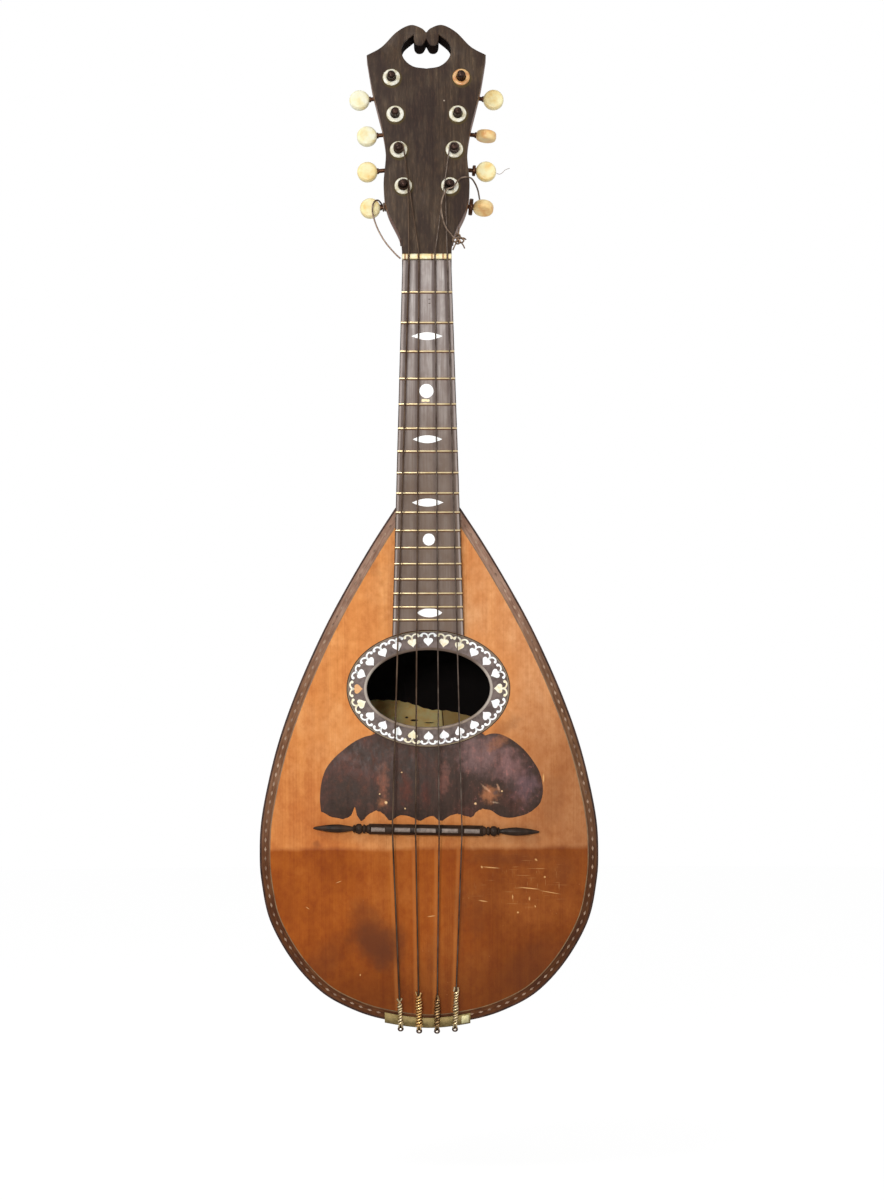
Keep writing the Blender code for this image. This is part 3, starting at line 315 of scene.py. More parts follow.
# Brown stains: centre, radii, degrees, strength
STAINS = [
    ((-30.0, -392.0), (23.0, 19.0), 20.0, 0.85), ((-36.0, -378.0), (17.0, 14.0), 40.0, 0.4),
    ((-24.0, -400.0), (13.0, 12.0), 0.0, 0.5), ((-60.0, -402.0), (26.0, 12.0), -48.0, 0.3),
    ((18.0, -372.0), (5.0, 24.0), 0.0, 0.32), ((2.0, -400.0), (5.0, 22.0), 3.0, 0.22),
    ((27.0, -378.0), (8.0, 22.0), 0.0, 0.28), ((60.0, -407.0), (30.0, 20.0), -40.0, 0.35),
    ((70.0, -312.0), (9.0, 26.0), 5.0, 0.22), ((45.0, -344.0), (40.0, 5.0), 0.0, 0.25),
    ((-64.5, -335.2), (3.4, 3.0), 0.0, 0.35), ((76.0, -352.0), (10.0, 12.0), 0.0, 0.25),
    ((44.0, -268.0), (14.0, 6.0), -35.0, 0.3), ((-34.0, -170.0), (5.0, 22.0), -25.0, 0.2),
]


def scratches(paint, cloud):
    """A mask of the dents, fine hair scratches on the right and small pale specks, and the dents alone."""
    marks = None
    for cx, cz, half, wide, degrees in SCRATCHES:
        mark = paint.spot((cx, cz), (half, wide), degrees, 0.7)
        marks = marks.larger(mark) if marks else mark
    specks = paint.noise((1.1, 30.0, 1.1), 1.0, 0.5, shift=3.0)
    specks = specks.span(0.76, 0.82) * cloud.span(0.45, 0.65)
    worn = paint.spot((55.0, -358.0), (36.0, 20.0), 0.0, 0.6, 0.8)
    level = paint.noise((14.0, 30.0, 0.5), 2.0, 0.5, shift=6.0).span(0.66, 0.74)
    upright = paint.noise((0.5, 30.0, 9.0), 2.0, 0.5, shift=2.0).span(0.68, 0.76)
    hair = level.larger(upright) * worn
    return (marks * 0.8).larger((specks * 0.3).larger(hair * 0.4)), marks


def spruce():
    """Old varnished wood: pale above the bend and brown and scratched below it, partly its finish and partly
    a painted sheen above; a painted reflection greys the upper right, and the right is darker, partly by
    painted shade.
    """
    paint = Paint("spruce_top", specular=0.14)
    x, z = paint.axis("X"), paint.axis("Z")
    fine = paint.noise((0.75, 30.0, 90.0), 3.0, 0.6)
    bands = paint.noise((7.0, 60.0, 260.0), 2.0, 0.5, shift=4.0)
    cloud = paint.noise((30.0, 60.0, 38.0), 5.0, 0.6, shift=9.0)
    mottle = paint.noise((4.0, 8.0, 5.0), 4.0, 0.65, shift=12.0)
    pale, grey, brown, dull = [cloud.ramp(*zip((0.3, 0.5, 0.72), tones)) for tones in SPRUCE_TONES]
    # grey: a painted reflection on the upper right, fading downwards
    grey = grey.tint(z.span(-305.0, -215.0, 1.0, 0.0), (0.62, 0.53, 0.43))
    edge = z + x * -0.008 + (cloud - 0.5) * 5.0
    below = edge.span(BEND_Z - 0.8, BEND_Z + 2.8, 1.0, 0.0)
    wavy = x + (cloud - 0.5) * 70.0
    upper = pale.mix(wavy.span(-12.0, 92.0), grey)
    upper = upper.tint(z.span(-335.0, -225.0, 0.6, 0.0), (0.80, 0.70, 0.62))
    # Brown below the bend: partly the finish, partly painted shade against the painted sheen above; dull on
    # the right, partly painted shade
    colour = upper.mix(below, brown.mix(wavy.span(0.0, 45.0), dull))
    colour = colour.mix(z.span(-432.0, -385.0, 0.70, 0.0), (0.150, 0.036, 0.003))
    colour = colour.tint(bands.span(0.35, 0.65, 0.0, 0.26), (0.68, 0.50, 0.38))
    colour = colour.tint(fine.span(0.42, 0.75, 0.0, 0.28), (0.66, 0.46, 0.32))
    colour = colour.tint(mottle.span(0.42, 0.7, 0.0, 0.6), (0.80, 0.66, 0.52))
    colour = colour.tint(mottle.span(0.3, 0.46, 0.4, 0.0), (1.12, 1.25, 1.5))
    # Below the bend, a painted string shadow beside each string and a paler strip on its other side
    for tail_x, bridge_x, *_ in STRINGS:
        beside = x + (z - BRIDGE_Z) * ((bridge_x - tail_x) / (TAIL_END_Z - BRIDGE_Z)) - bridge_x
        dark = beside.span(-0.5, 0.4) * beside.span(0.9, 2.2, 1.0, 0.0)
        light = beside.span(-3.4, -1.6) * beside.span(-1.0, -0.4, 1.0, 0.0)
        colour = colour.mix(dark * below * 0.3, (0.170, 0.045, 0.006))
        colour = colour.mix(light * below * 0.35, (0.56, 0.20, 0.045))
    for centre, radii, degrees, strength in STAINS:
        colour = colour.mix(paint.spot(centre, radii, degrees, 0.8, 0.9) * strength, (0.116, 0.029, 0.008))
    round_hole = paint.spot((0.0, HOLE_Z), (62.0, 48.0), 0.0, 0.35, 0.25)
    colour = colour.mix(round_hole * 0.25, (0.72, 0.26, 0.062))
    bright, marks = scratches(paint, cloud)
    colour = colour.mix(bright, (0.80, 0.43, 0.16))
    return paint.finish(colour, cloud.span(0.2, 0.8, 0.36, 0.55), (fine, 0.05), (marks, -0.12), (cloud, 0.2),
                        (mottle, 0.06))


def wood(name, dark, middle, light, along="Z", rough=(0.35, 0.5), use_uv=False, coat=0.3, width=2.2,
         length=60.0, specular=0.4, shadow=None, inside=False):
    """Long-grained wood, along one axis or along u of the UV map, with a painted shadow on a spot or painted
    shade on the inner face.
    """
    paint = Paint(name, coat=coat, specular=specular)
    source = paint.uv if use_uv else paint.place
    size = [length if axis == along else width for axis in "XYZ"]
    streaks = paint.noise(size, 5.0, 0.62, source, 2.0, 0.35)
    pores = paint.noise([s * 0.16 for s in size], 2.0, 0.5, source, 5.0)
    cloud = paint.noise((26.0, 26.0, 26.0), 3.0, 0.5, source, 8.0)
    colour = streaks.ramp((0.28, dark), (0.5, middle), (0.72, light))
    colour = colour.mix(pores.span(0.55, 0.75, 0.0, 0.55), dark)
    colour = colour.mix(cloud.span(0.35, 0.7, 0.0, 0.35), dark)
    shine = cloud.span(0.3, 0.7, *rough)
    painted_shade = None
    # A painted shadow on a spot
    if shadow:
        painted_shade = paint.spot(*shadow, 0.0, 0.15)
    # Painted shade, near black, on faces that turn to the front, which on the bowl are its inner face
    if inside:
        painted_shade = paint.facing("Y").span(-0.35, -0.15, 1.0, 0.0)
    if painted_shade:
        colour = colour.mix(painted_shade, tuple(0.12 * c for c in dark))
        shine = shine.larger(painted_shade)
    return paint.finish(colour, shine, (pores, -0.05), (streaks, 0.04))


# Tones of the edge band from dark to light: at the neck, at its middle and round the tail
BAND_TONES = [
    ((0.20, 0.100, 0.062), (0.31, 0.175, 0.115), (0.42, 0.27, 0.195)),
    ((0.10, 0.036, 0.013), (0.19, 0.080, 0.030), (0.28, 0.14, 0.075)),
    ((0.050, 0.013, 0.003), (0.098, 0.029, 0.006), (0.15, 0.056, 0.018)),
]


def band_wood():
    """Brown band round the soundboard: paler and redder above, almost black round the tail."""
    paint = Paint("edge_band", specular=0.15)
    streak = paint.noise((14.0, 1.1, 1.1), 4.0, 0.6, paint.uv)
    cloud = paint.noise((9.0, 9.0, 14.0), 4.0, 0.6, shift=4.0)
    high, middle, low = [streak.ramp(*zip((0.3, 0.5, 0.7), tones)) for tones in BAND_TONES]
    z = paint.axis("Z") + cloud * 70.0
    colour = middle.mix(z.span(-225.0, -145.0), high)
    colour = colour.mix(z.span(-335.0, -245.0, 1.0, 0.0), low)
    colour = colour.tint(paint.axis("X").span(40.0, 80.0), (0.74, 0.74, 0.68))
    colour = colour.tint(cloud.span(0.45, 0.62, 0.0, 0.6), (0.6, 0.5, 0.45))
    return paint.finish(colour, cloud.span(0.3, 0.7, 0.35, 0.5), (streak, 0.04))


# Tones of the pickguard: centre, radii, degrees, strength, colour
GUARD_TONES = [
    ((-46.0, -285.0), (9.0, 6.0), 20.0, 0.5, (0.150, 0.062, 0.045)),
    ((-26.0, -300.0), (4.6, 15.0), -4.0, 0.75, (0.215, 0.085, 0.052)),
    ((-13.0, -303.0), (5.0, 15.0), 0.0, 0.7, (0.105, 0.032, 0.020)),
    ((-2.0, -306.0), (4.5, 11.0), 0.0, 0.6, (0.092, 0.030, 0.021)),
    ((9.0, -297.0), (4.0, 14.0), 3.0, 0.7, (0.190, 0.080, 0.060)),
    ((30.0, -285.0), (24.0, 15.0), 0.0, 0.75, (0.225, 0.130, 0.122)),
    ((47.0, -291.0), (13.0, 12.0), 30.0, 0.65, (0.280, 0.145, 0.138)),
    ((56.0, -303.0), (10.0, 14.0), 10.0, 0.6, (0.185, 0.108, 0.118)),
    ((48.0, -300.0), (5.0, 9.0), 0.0, 0.45, (0.070, 0.055, 0.052)),
    ((40.0, -277.0), (11.0, 4.5), -28.0, 0.55, (0.33, 0.13, 0.062)),
    ((-27.0, -311.5), (3.6, 4.0), 0.0, 0.6, (0.36, 0.14, 0.06)),
    ((35.5, -307.0), (6.6, 6.8), 20.0, 0.8, (0.42, 0.165, 0.072)),
    ((33.0, -303.5), (4.6, 1.0), 40.0, 0.6, (0.60, 0.34, 0.20)),
    ((40.0, -303.0), (1.0, 3.4), -20.0, 0.6, (0.60, 0.34, 0.20)),
    ((38.2, -306.0), (2.4, 2.2), 0.0, 0.7, (0.085, 0.060, 0.055)),
    ((38.0, -311.5), (3.0, 0.7), 10.0, 0.5, (0.50, 0.36, 0.24)),
]

# Chips that show pale wood: x, z, radius
CHIPS = [(-24.6, -311.3, 1.1), (26.8, -312.1, 0.9), (-28.2, -306.4, 0.6), (-13.6, -314.8, 0.6),
         (-15.5, -294.0, 0.5), (42.0, -305.0, 0.7)]


def tortoise():
    """Worn pickguard: olive grey on the left, red brown in the middle and purple grey on the right."""
    paint = Paint("tortoiseshell", specular=0.1)
    patch = paint.noise((22.0, 22.0, 22.0), 5.0, 0.62, shift=3.0, distort=0.6)
    fine = paint.noise((3.4, 3.4, 6.0), 5.0, 0.65, shift=7.0)
    streak = paint.noise((2.2, 30.0, 40.0), 3.0, 0.55, shift=1.0)
    colour = patch.ramp((0.3, (0.043, 0.026, 0.019)), (0.48, (0.054, 0.031, 0.023)),
                        (0.6, (0.072, 0.035, 0.026)), (0.72, (0.100, 0.044, 0.034)))
    for centre, radii, degrees, strength, tone in GUARD_TONES:
        colour = colour.mix(paint.spot(centre, radii, degrees, 0.85, 1.6) * strength, tone)
    side = paint.axis("X").span(4.0, 30.0)
    specks = paint.noise((1.5, 3.0, 2.2), 3.0, 0.6, shift=15.0)
    colour = colour.tint(specks.span(0.54, 0.66, 0.0, 0.5), (1.65, 1.35, 1.25))
    colour = colour.mix(specks.span(0.62, 0.74) * (side * 0.6), (0.25, 0.105, 0.10))
    colour = colour.tint(specks.span(0.34, 0.45, 0.4, 0.0), (0.62, 0.64, 0.62))
    colour = colour.tint(fine.span(0.5, 0.72, 0.0, 0.7), (1.60, 1.42, 1.32))
    colour = colour.tint(fine.span(0.28, 0.46, 0.5, 0.0), (0.62, 0.60, 0.60))
    colour = colour.tint(streak.span(0.5, 0.75, 0.0, 0.5), (0.62, 0.52, 0.50))
    colour = colour.tint(streak.span(0.28, 0.42, 0.35, 0.0), (1.5, 1.45, 1.45))
    for cx, cz, size in CHIPS:
        colour = colour.mix(paint.spot((cx, cz), (size, size), 0.0, 0.6, 0.6), (0.86, 0.56, 0.28))
    return paint.finish(colour, fine.span(0.3, 0.7, 0.3, 0.5), (patch, 0.25), (fine, 0.08))


def plain(name, dark, pale, rough, size, metallic=0.0, coat=0.0, depth=0.03, specular=0.5):
    """A fine-grained material that varies softly between two colours."""
    paint = Paint(name, metallic=metallic, coat=coat, specular=specular)
    cloud = paint.noise((size, size, size), 4.0, 0.6, shift=2.0)
    fine = paint.noise((size / 9.0,) * 3, 3.0, 0.6, shift=6.0)
    colour = cloud.ramp((0.35, dark), (0.65, pale))
    colour = colour.mix(fine.span(0.5, 0.8, 0.0, 0.3), tuple(0.55 * c for c in dark))
    return paint.finish(colour, cloud.span(0.3, 0.7, *rough), (fine, depth))


def board_half(z):
    """Half the width of the fingerboard, where z is a number or a Shade."""
    return z * ((BOARD_WIDTHS[1] - BOARD_WIDTHS[0]) / 2 / FINGERBOARD_END_Z) + BOARD_WIDTHS[0] / 2


def fingerboard_wood():
    """Dark wood, grey between the strings and darker in bands along them, with pale lines along its edges."""
    paint = Paint("fingerboard", specular=0.25)
    x, z = paint.axis("X"), paint.axis("Z")
    streak = paint.noise((0.9, 8.0, 26.0), 4.0, 0.6)
    cloud = paint.noise((7.0, 9.0, 14.0), 4.0, 0.6, shift=5.0)
    colour = streak.ramp((0.3, (0.27, 0.220, 0.200)), (0.5, (0.43, 0.375, 0.350)), (0.72, (0.60, 0.55, 0.52)))
    colour = colour.mix(cloud.span(0.4, 0.65, 0.0, 0.7), (0.29, 0.235, 0.215))
    high = z.span(-165.0, 15.0)
    colour = colour.mix(high.span(0.0, 1.0, 0.88, 0.0), (0.132, 0.082, 0.052))
    for _, bridge_x, nut_x, *_ in STRINGS:
        near = abs(x + z * ((bridge_x - nut_x) / SCALE_LENGTH) - (nut_x - 0.4))
        under = near.span(0.9, 2.3, 1.0, 0.0) * high.span(0.0, 1.0, 0.45, 0.85)
        colour = colour.mix(under, (0.085, 0.052, 0.043))
    inside = board_half(z) - abs(x)
    strip = inside.span(0.45, 0.75) * inside.span(1.4, 1.8, 1.0, 0.0)
    colour = colour.mix(strip * 0.7, (0.42, 0.35, 0.32))
    colour = colour.mix(inside.span(0.3, 0.6, 0.85, 0.0), (0.020, 0.012, 0.010))
    for spot_z in (-22.6, -25.0):
        colour = colour.mix(paint.spot((1.4, spot_z), (0.8, 0.3), 0.0, 0.4, 0.4), (0.05, 0.03, 0.02))
    return paint.finish(colour, cloud.span(0.3, 0.7, 0.42, 0.6), (streak, 0.04), (cloud, 0.06))


def head_wood():
    """Dark veneer of the peghead, with soft streaks along it, brown rings round the collars and a speck."""
    paint = Paint("head_veneer", specular=0.2)
    streak = paint.noise((2.6, 10.0, 60.0), 4.0, 0.6)
    cloud = paint.noise((12.0, 20.0, 24.0), 4.0, 0.6, shift=5.0)
    fine = paint.noise((0.8, 3.0, 5.0), 4.0, 0.65, shift=3.0)
    colour = streak.ramp((0.3, (0.026, 0.013, 0.007)), (0.5, (0.052, 0.031, 0.018)),
                         (0.72, (0.090, 0.060, 0.037)))
    colour = colour.mix(cloud.span(0.45, 0.62, 0.0, 0.7), (0.024, 0.012, 0.009))
    colour = colour.mix(cloud.span(0.3, 0.42, 0.5, 0.0), (0.075, 0.052, 0.040))
    colour = colour.tint(fine.span(0.48, 0.7, 0.0, 0.7), (2.0, 1.9, 1.8))
    colour = colour.tint(fine.span(0.3, 0.45, 0.4, 0.0), (0.5, 0.45, 0.45))
    for *_, x, up in post_places():
        centre = (x + 0.3, HEAD_FOOT[2] + up * math.cos(HEAD_TILT) - 0.6)
        colour = colour.mix(paint.spot(centre, (6.4, 6.4), 0.0, 0.22, 0.1), (0.070, 0.045, 0.012))
    middle = paint.spot((1.0, 66.0), (16.0, 62.0), 0.0, 0.9, 0.5)
    colour = colour.tint(middle * 0.45, (0.62, 0.52, 0.48))
    colour = colour.mix(paint.spot((10.3, 94.0), (0.55, 0.55), 0.0, 0.5), (0.42, 0.34, 0.26))
    return paint.finish(colour, cloud.span(0.3, 0.7, 0.42, 0.6), (streak, 0.05), (fine, 0.03))


def wound_wire():
    """Brass wire with fine windings across it, by the UV map."""
    paint = Paint("string_wire", metallic=1.0)
    wave = paint.node("ShaderNodeTexWave", "Vector", paint.uv)
    wave.inputs["Scale"].default_value = 1.0 / (MM * 3.6)
    cloud = paint.noise((6.0, 6.0, 14.0), 3.0, 0.6)
    colour = cloud.ramp((0.35, (0.050, 0.030, 0.020)), (0.65, (0.120, 0.080, 0.055)))
    return paint.finish(colour, cloud.span(0.3, 0.7, 0.35, 0.5), (Shade(paint, wave.outputs["Fac"]), 0.05))


def button_ivory(name, low, middle, high):
    """Cream in clouds, with painted shade in honey colour at the rims of the button's faces."""
    paint = Paint(name, coat=0.2, specular=0.3)
    cloud = paint.noise((5.0, 5.0, 5.0), 3.0, 0.5, shift=2.0)
    fine = paint.noise((0.5, 4.0, 4.0), 3.0, 0.6, shift=6.0)
    colour = cloud.ramp((0.3, low), (0.46, middle), (0.62, high))
    # Painted shade: darker honey towards the rims of the faces, where they turn away from the light
    away = paint.node("ShaderNodeVectorMath", 0, paint.whole)
    away.operation = "DISTANCE"
    away.inputs[1].default_value = (0.5, 0.5, 0.54)
    corner = Shade(paint, away.outputs["Value"]).span(0.56, 0.72)
    colour = colour.mix(corner * 0.8, tuple(0.8 * c for c in low))
    colour = colour.mix(fine.span(0.5, 0.8, 0.0, 0.2), low)
    return paint.finish(colour, cloud.span(0.3, 0.7, 0.28, 0.42), (fine, 0.02))


def lip_finish():
    """Rounded lip of the sound hole: brown at the top, grey and pale at both ends."""
    paint = Paint("rosette_lip", specular=0.3)
    cloud = paint.noise((7.0, 7.0, 7.0), 4.0, 0.6, shift=4.0)
    colour = cloud.ramp((0.3, (0.17, 0.115, 0.080)), (0.6, (0.32, 0.245, 0.185)))
    colour = colour.mix(abs(paint.axis("X")).span(24.0, 35.0) * 0.7, (0.52, 0.46, 0.40))
    upper = paint.axis("Z").span(HOLE_Z + 8.0, HOLE_Z + 19.0)
    colour = colour.mix(upper * 0.8, (0.085, 0.050, 0.034))
    return paint.finish(colour, cloud.span(0.3, 0.7, 0.3, 0.5), (cloud, 0.05))


def pearl():
    """Shell with faint pink, green and blue clouds."""
    paint = Paint("pearl", coat=0.3, specular=0.4)
    cloud = paint.noise((2.4, 2.4, 2.4), 3.0, 0.6, shift=2.0)
    colour = cloud.ramp((0.28, (0.98, 0.86, 0.86)), (0.42, (1.0, 0.99, 0.97)), (0.56, (0.98, 1.0, 0.97)),
                        (0.72, (0.97, 0.95, 1.0)))
    return paint.finish(colour, cloud.span(0.3, 0.7, 0.2, 0.36), (cloud, 0.02))


# Dark marks on the paper: centre, radii
PAPER_MARKS = [((-9.0, -267.4), (2.8, 0.8)), ((-13.5, -265.6), (1.2, 0.7)), ((0.0, -268.9), (3.6, 0.4))]


def paper():
    """Old lining paper with ribs of the bowl showing through, stains and a few small dark marks, on the pale
    sheet that stands for the light through the sound hole.
    """
    paint = Paint("painted_light_paper", specular=0.2)
    cloud = paint.noise((9.0, 9.0, 9.0), 4.0, 0.6, shift=2.0)
    colour = cloud.ramp((0.3, (0.95, 0.55, 0.17)), (0.5, (1.00, 0.74, 0.30)), (0.7, (1.00, 0.86, 0.42)))
    top = paint.spot((-24.0, -251.0), (22.0, 11.0), 8.0, 0.4, 0.6)
    colour = colour.mix(top * 0.35, (0.52, 0.30, 0.09))
    colour = colour.mix(paint.axis("X").span(7.0, 8.5, 0.0, 0.7), (0.42, 0.23, 0.07))
    colour = colour.mix(paint.spot((8.2, -266.0), (0.5, 9.0), -4.0, 0.5), (0.10, 0.05, 0.02))
    for centre, radii in PAPER_MARKS:
        colour = colour.mix(paint.spot(centre, radii, 0.0, 0.4, 0.6), (0.03, 0.018, 0.008))
    return paint.finish(colour, 0.85, (cloud, 0.3))


def nut_bone():
    """Yellowed bone, with painted shade in the string slots."""
    paint = Paint("nut", coat=0.1, specular=0.3)
    x = paint.axis("X")
    cloud = paint.noise((4.0, 3.0, 3.0), 3.0, 0.6, shift=1.0)
    colour = cloud.ramp((0.35, (0.97, 0.74, 0.34)), (0.5, (0.99, 0.88, 0.54)), (0.65, (1.0, 0.95, 0.70)))
    # Painted shade in the string slots
    for slot_x in NUT_SLOTS:
        colour = colour.mix(abs(x - slot_x).span(0.35, 0.85, 0.85, 0.0), (0.40, 0.17, 0.04))
    return paint.finish(colour, cloud.span(0.3, 0.7, 0.3, 0.45), (cloud, 0.03))


def pin_brass():
    """Dark balls with a painted highlight on the front of each."""
    paint = Paint("hitch_pin", metallic=0.9)
    cloud = paint.noise((1.5, 1.5, 1.5), 3.0, 0.6)
    colour = cloud.ramp((0.35, (0.045, 0.022, 0.014)), (0.65, (0.12, 0.062, 0.040)))
    # A painted highlight: a bright spot on the front of each ball
    for x, *_ in STRINGS:
        centre = (x, tail_rim(x, TAIL_FACE) - PIN_MIDDLE)
        colour = colour.mix(paint.spot(centre, (0.85, 0.8), 0.0, 0.45), (0.90, 0.82, 0.72))
    return paint.finish(colour, cloud.span(0.3, 0.7, 0.25, 0.4), (cloud, 0.03))


# Plain materials: dark and pale colour, range of roughness, size of the clouds, and what else differs
PLAIN_FINISHES = {
    "edge_rim": ((0.022, 0.009, 0.006), (0.070, 0.030, 0.018), (0.4, 0.55), 5.0, {"specular": 0.2}),
    "pale_line": ((0.52, 0.33, 0.15), (0.66, 0.45, 0.23), (0.4, 0.5), 8.0, {"coat": 0.2}),
    "diamond": ((0.12, 0.055, 0.030), (0.46, 0.31, 0.21), (0.4, 0.55), 6.0, {"specular": 0.2}),
    "band_line": ((0.13, 0.060, 0.016), (0.26, 0.145, 0.055), (0.35, 0.5), 7.0, {}),
    "rosette_ground": ((0.062, 0.034, 0.026), (0.185, 0.135, 0.118), (0.3, 0.5), 5.0, {"specular": 0.3}),
    "rosette_line": ((0.17, 0.115, 0.050), (0.29, 0.21, 0.095), (0.35, 0.5), 7.0, {}),
    # Painted shadow below the frets
    "fret_shadow": ((0.085, 0.030, 0.014), (0.16, 0.065, 0.03), (0.5, 0.65), 3.0, {"specular": 0.2}),
    "warm_pearl": ((0.88, 0.74, 0.42), (0.99, 0.96, 0.80), (0.2, 0.35), 2.5, {"coat": 0.4}),
    "amber_inlay": ((0.62, 0.24, 0.05), (0.75, 0.36, 0.10), (0.25, 0.4), 3.0, {"coat": 0.3}),
    "ebony": ((0.013, 0.007, 0.004), (0.042, 0.022, 0.013), (0.3, 0.45), 5.0, {"specular": 0.15}),
    "worn_ebony": ((0.085, 0.060, 0.046), (0.27, 0.205, 0.165), (0.35, 0.5), 3.0, {"depth": 0.08}),
    "bone": ((0.98, 0.76, 0.36), (1.0, 0.92, 0.58), (0.3, 0.45), 4.0, {"coat": 0.2}),
    "collar": ((0.58, 0.50, 0.30), (0.99, 0.97, 0.86), (0.25, 0.4), 3.4, {"coat": 0.1}),
    "amber_collar": ((0.62, 0.27, 0.09), (0.78, 0.48, 0.20), (0.25, 0.4), 3.0, {"coat": 0.2}),
}

# Metals: the same, with how metallic they are and the depth of the bumps
METAL_FINISHES = {
    "brass": ((0.40, 0.31, 0.15), (0.58, 0.47, 0.24), (0.35, 0.5), 5.0, 1.0, 0.05),
    "tail_brass": ((0.105, 0.075, 0.024), (0.27, 0.20, 0.085), (0.42, 0.58), 5.0, 0.85, 0.06),
    "tail_tab": ((0.36, 0.32, 0.16), (0.52, 0.47, 0.27), (0.4, 0.55), 2.0, 0.85, 0.06),
    "fret_brass": ((0.78, 0.60, 0.32), (0.90, 0.76, 0.48), (0.3, 0.4), 3.0, 1.0, 0.01),
    "dark_brass": ((0.045, 0.018, 0.010), (0.135, 0.062, 0.032), (0.3, 0.5), 2.0, 0.9, 0.04),
    "post": ((0.014, 0.007, 0.005), (0.055, 0.027, 0.018), (0.25, 0.42), 1.5, 0.8, 0.03),
    "plain_wire": ((0.055, 0.038, 0.030), (0.14, 0.108, 0.088), (0.3, 0.45), 7.0, 1.0, 0.01),
    "broken_wire": ((0.11, 0.070, 0.048), (0.30, 0.22, 0.165), (0.3, 0.45), 4.0, 1.0, 0.02),
    "knot": ((0.10, 0.058, 0.036), (0.30, 0.20, 0.13), (0.3, 0.45), 1.6, 0.9, 0.02),
    "loop_wire": ((0.42, 0.22, 0.055), (0.90, 0.62, 0.28), (0.28, 0.4), 1.6, 1.0, 0.01),
    "pale_loop_wire": ((0.44, 0.31, 0.14), (0.80, 0.66, 0.42), (0.28, 0.4), 1.6, 1.0, 0.01),
    "dark_loop_wire": ((0.10, 0.045, 0.020), (0.50, 0.32, 0.15), (0.28, 0.4), 1.6, 1.0, 0.01),
}

# Ivory of the buttons: three tones from dark to light
IVORY_TONES = {
    "pale_button": ((0.95, 0.78, 0.38), (0.98, 0.93, 0.60), (0.99, 0.98, 0.76)),
    "warm_button": ((0.95, 0.64, 0.22), (0.98, 0.80, 0.38), (0.99, 0.91, 0.54)),
    "honey_button": ((0.86, 0.44, 0.15), (0.96, 0.66, 0.28), (0.98, 0.78, 0.40)),
}

# Other woods: three tones from dark to light
ROSEWOOD = ((0.030, 0.010, 0.006), (0.115, 0.037, 0.018), (0.210, 0.078, 0.036))
NECK_WOOD = ((0.075, 0.026, 0.013), (0.165, 0.062, 0.028), (0.240, 0.100, 0.048))
RAW_WOOD = ((0.36, 0.22, 0.10), (0.55, 0.37, 0.19), (0.68, 0.50, 0.29))
RAW_GRAIN = {"rough": (0.65, 0.8), "coat": 0.0, "width": 1.0, "length": 30.0}
# Painted shadow on the wall of the head's cutout: centre, radii
CUTOUT_SHADOW = ((0.0, 123.6), (17.0, 13.5))


def make_finishes():
    """Every material, by name."""
    made = {name: plain(name, *values, **rest) for name, (*values, rest) in PLAIN_FINISHES.items()}
    for name, (*values, metallic, depth) in METAL_FINISHES.items():
        made[name] = plain(name, *values, metallic=metallic, depth=depth)
    for name, tones in IVORY_TONES.items():
        made[name] = button_ivory(name, *tones)
    # The bowl's inner face gets painted shade
    made["rosewood"] = wood("rosewood", *ROSEWOOD, "X", use_uv=True, width=4.0, length=90.0, inside=True)
    made["neck_wood"] = wood("neck_wood", *NECK_WOOD, coat=0.0, width=1.6, length=50.0, specular=0.08,
                             shadow=CUTOUT_SHADOW)
    made["inner_wood"] = wood("inner_wood", *RAW_WOOD, "Z", **RAW_GRAIN)
    made["brace_wood"] = wood("brace_wood", *RAW_WOOD, "X", **RAW_GRAIN)
    for name, make in (("spruce", spruce), ("band", band_wood), ("head", head_wood),
                       ("board", fingerboard_wood), ("tortoiseshell", tortoise), ("lip", lip_finish),
                       ("pearl", pearl), ("paper", paper), ("wound_wire", wound_wire), ("nut", nut_bone),
                       ("hitch_pin", pin_brass)):
        made[name] = make()
    return made


# Building helpers

def loft(sections, caps=True, along=None, across=None, loop=False):
    """A mesh through sections with the same number of points. along and across are the UV places, in mm."""
    rows, count = len(sections), len(sections[0])
    points = [tuple(float(c) * MM for c in p) for section in sections for p in section]
    faces, places = [], []
    for r in range(rows - 1 + loop):
        s = (r + 1) % rows
        for i in range(count):
            j = (i + 1) % count
            faces.append((r * count + i, r * count + j, s * count + j, s * count + i))
            if along is not None:
                u0, u1, v0, v1 = along[r] * MM, along[r + 1] * MM, across[i] * MM, across[i + 1] * MM
                places += [(u0, v0), (u0, v1), (u1, v1), (u1, v0)]
    if caps:
        faces += [tuple(range(count)), tuple((rows - 1) * count + i for i in reversed(range(count)))]
        if along is not None:
            places += [(along[0] * MM, v * MM) for v in across[:count]]
            places += [(along[rows - 1] * MM, across[i] * MM) for i in reversed(range(count))]
    mesh = bpy.data.meshes.new("loft")
    mesh.from_pydata(points, [], faces)
    if along is not None:
        layer = mesh.uv_layers.new(name="UVMap")
        layer.data.foreach_set("uv", np.array(places, float).ravel())
    return outward(mesh)


def outward(mesh, weld=0.0):
    work = bmesh.new()
    work.from_mesh(mesh)
    if weld:
        bmesh.ops.remove_doubles(work, verts=work.verts, dist=weld)
    bmesh.ops.recalc_face_normals(work, faces=work.faces)
    work.to_mesh(mesh)
    work.free()
    return mesh


def mesh_of(item, weld=0.0):
    """The mesh of a scratch object as its modifiers leave it. The object itself goes."""
    bpy.context.view_layer.update()
    graph = bpy.context.evaluated_depsgraph_get()
    mesh = bpy.data.meshes.new_from_object(item.evaluated_get(graph))
    bpy.data.objects.remove(item, do_unlink=True)
    return outward(mesh, weld) if weld else mesh


def placed_object(name, data):
    made = bpy.data.objects.new(name, data)
    bpy.context.scene.collection.objects.link(made)
    return made


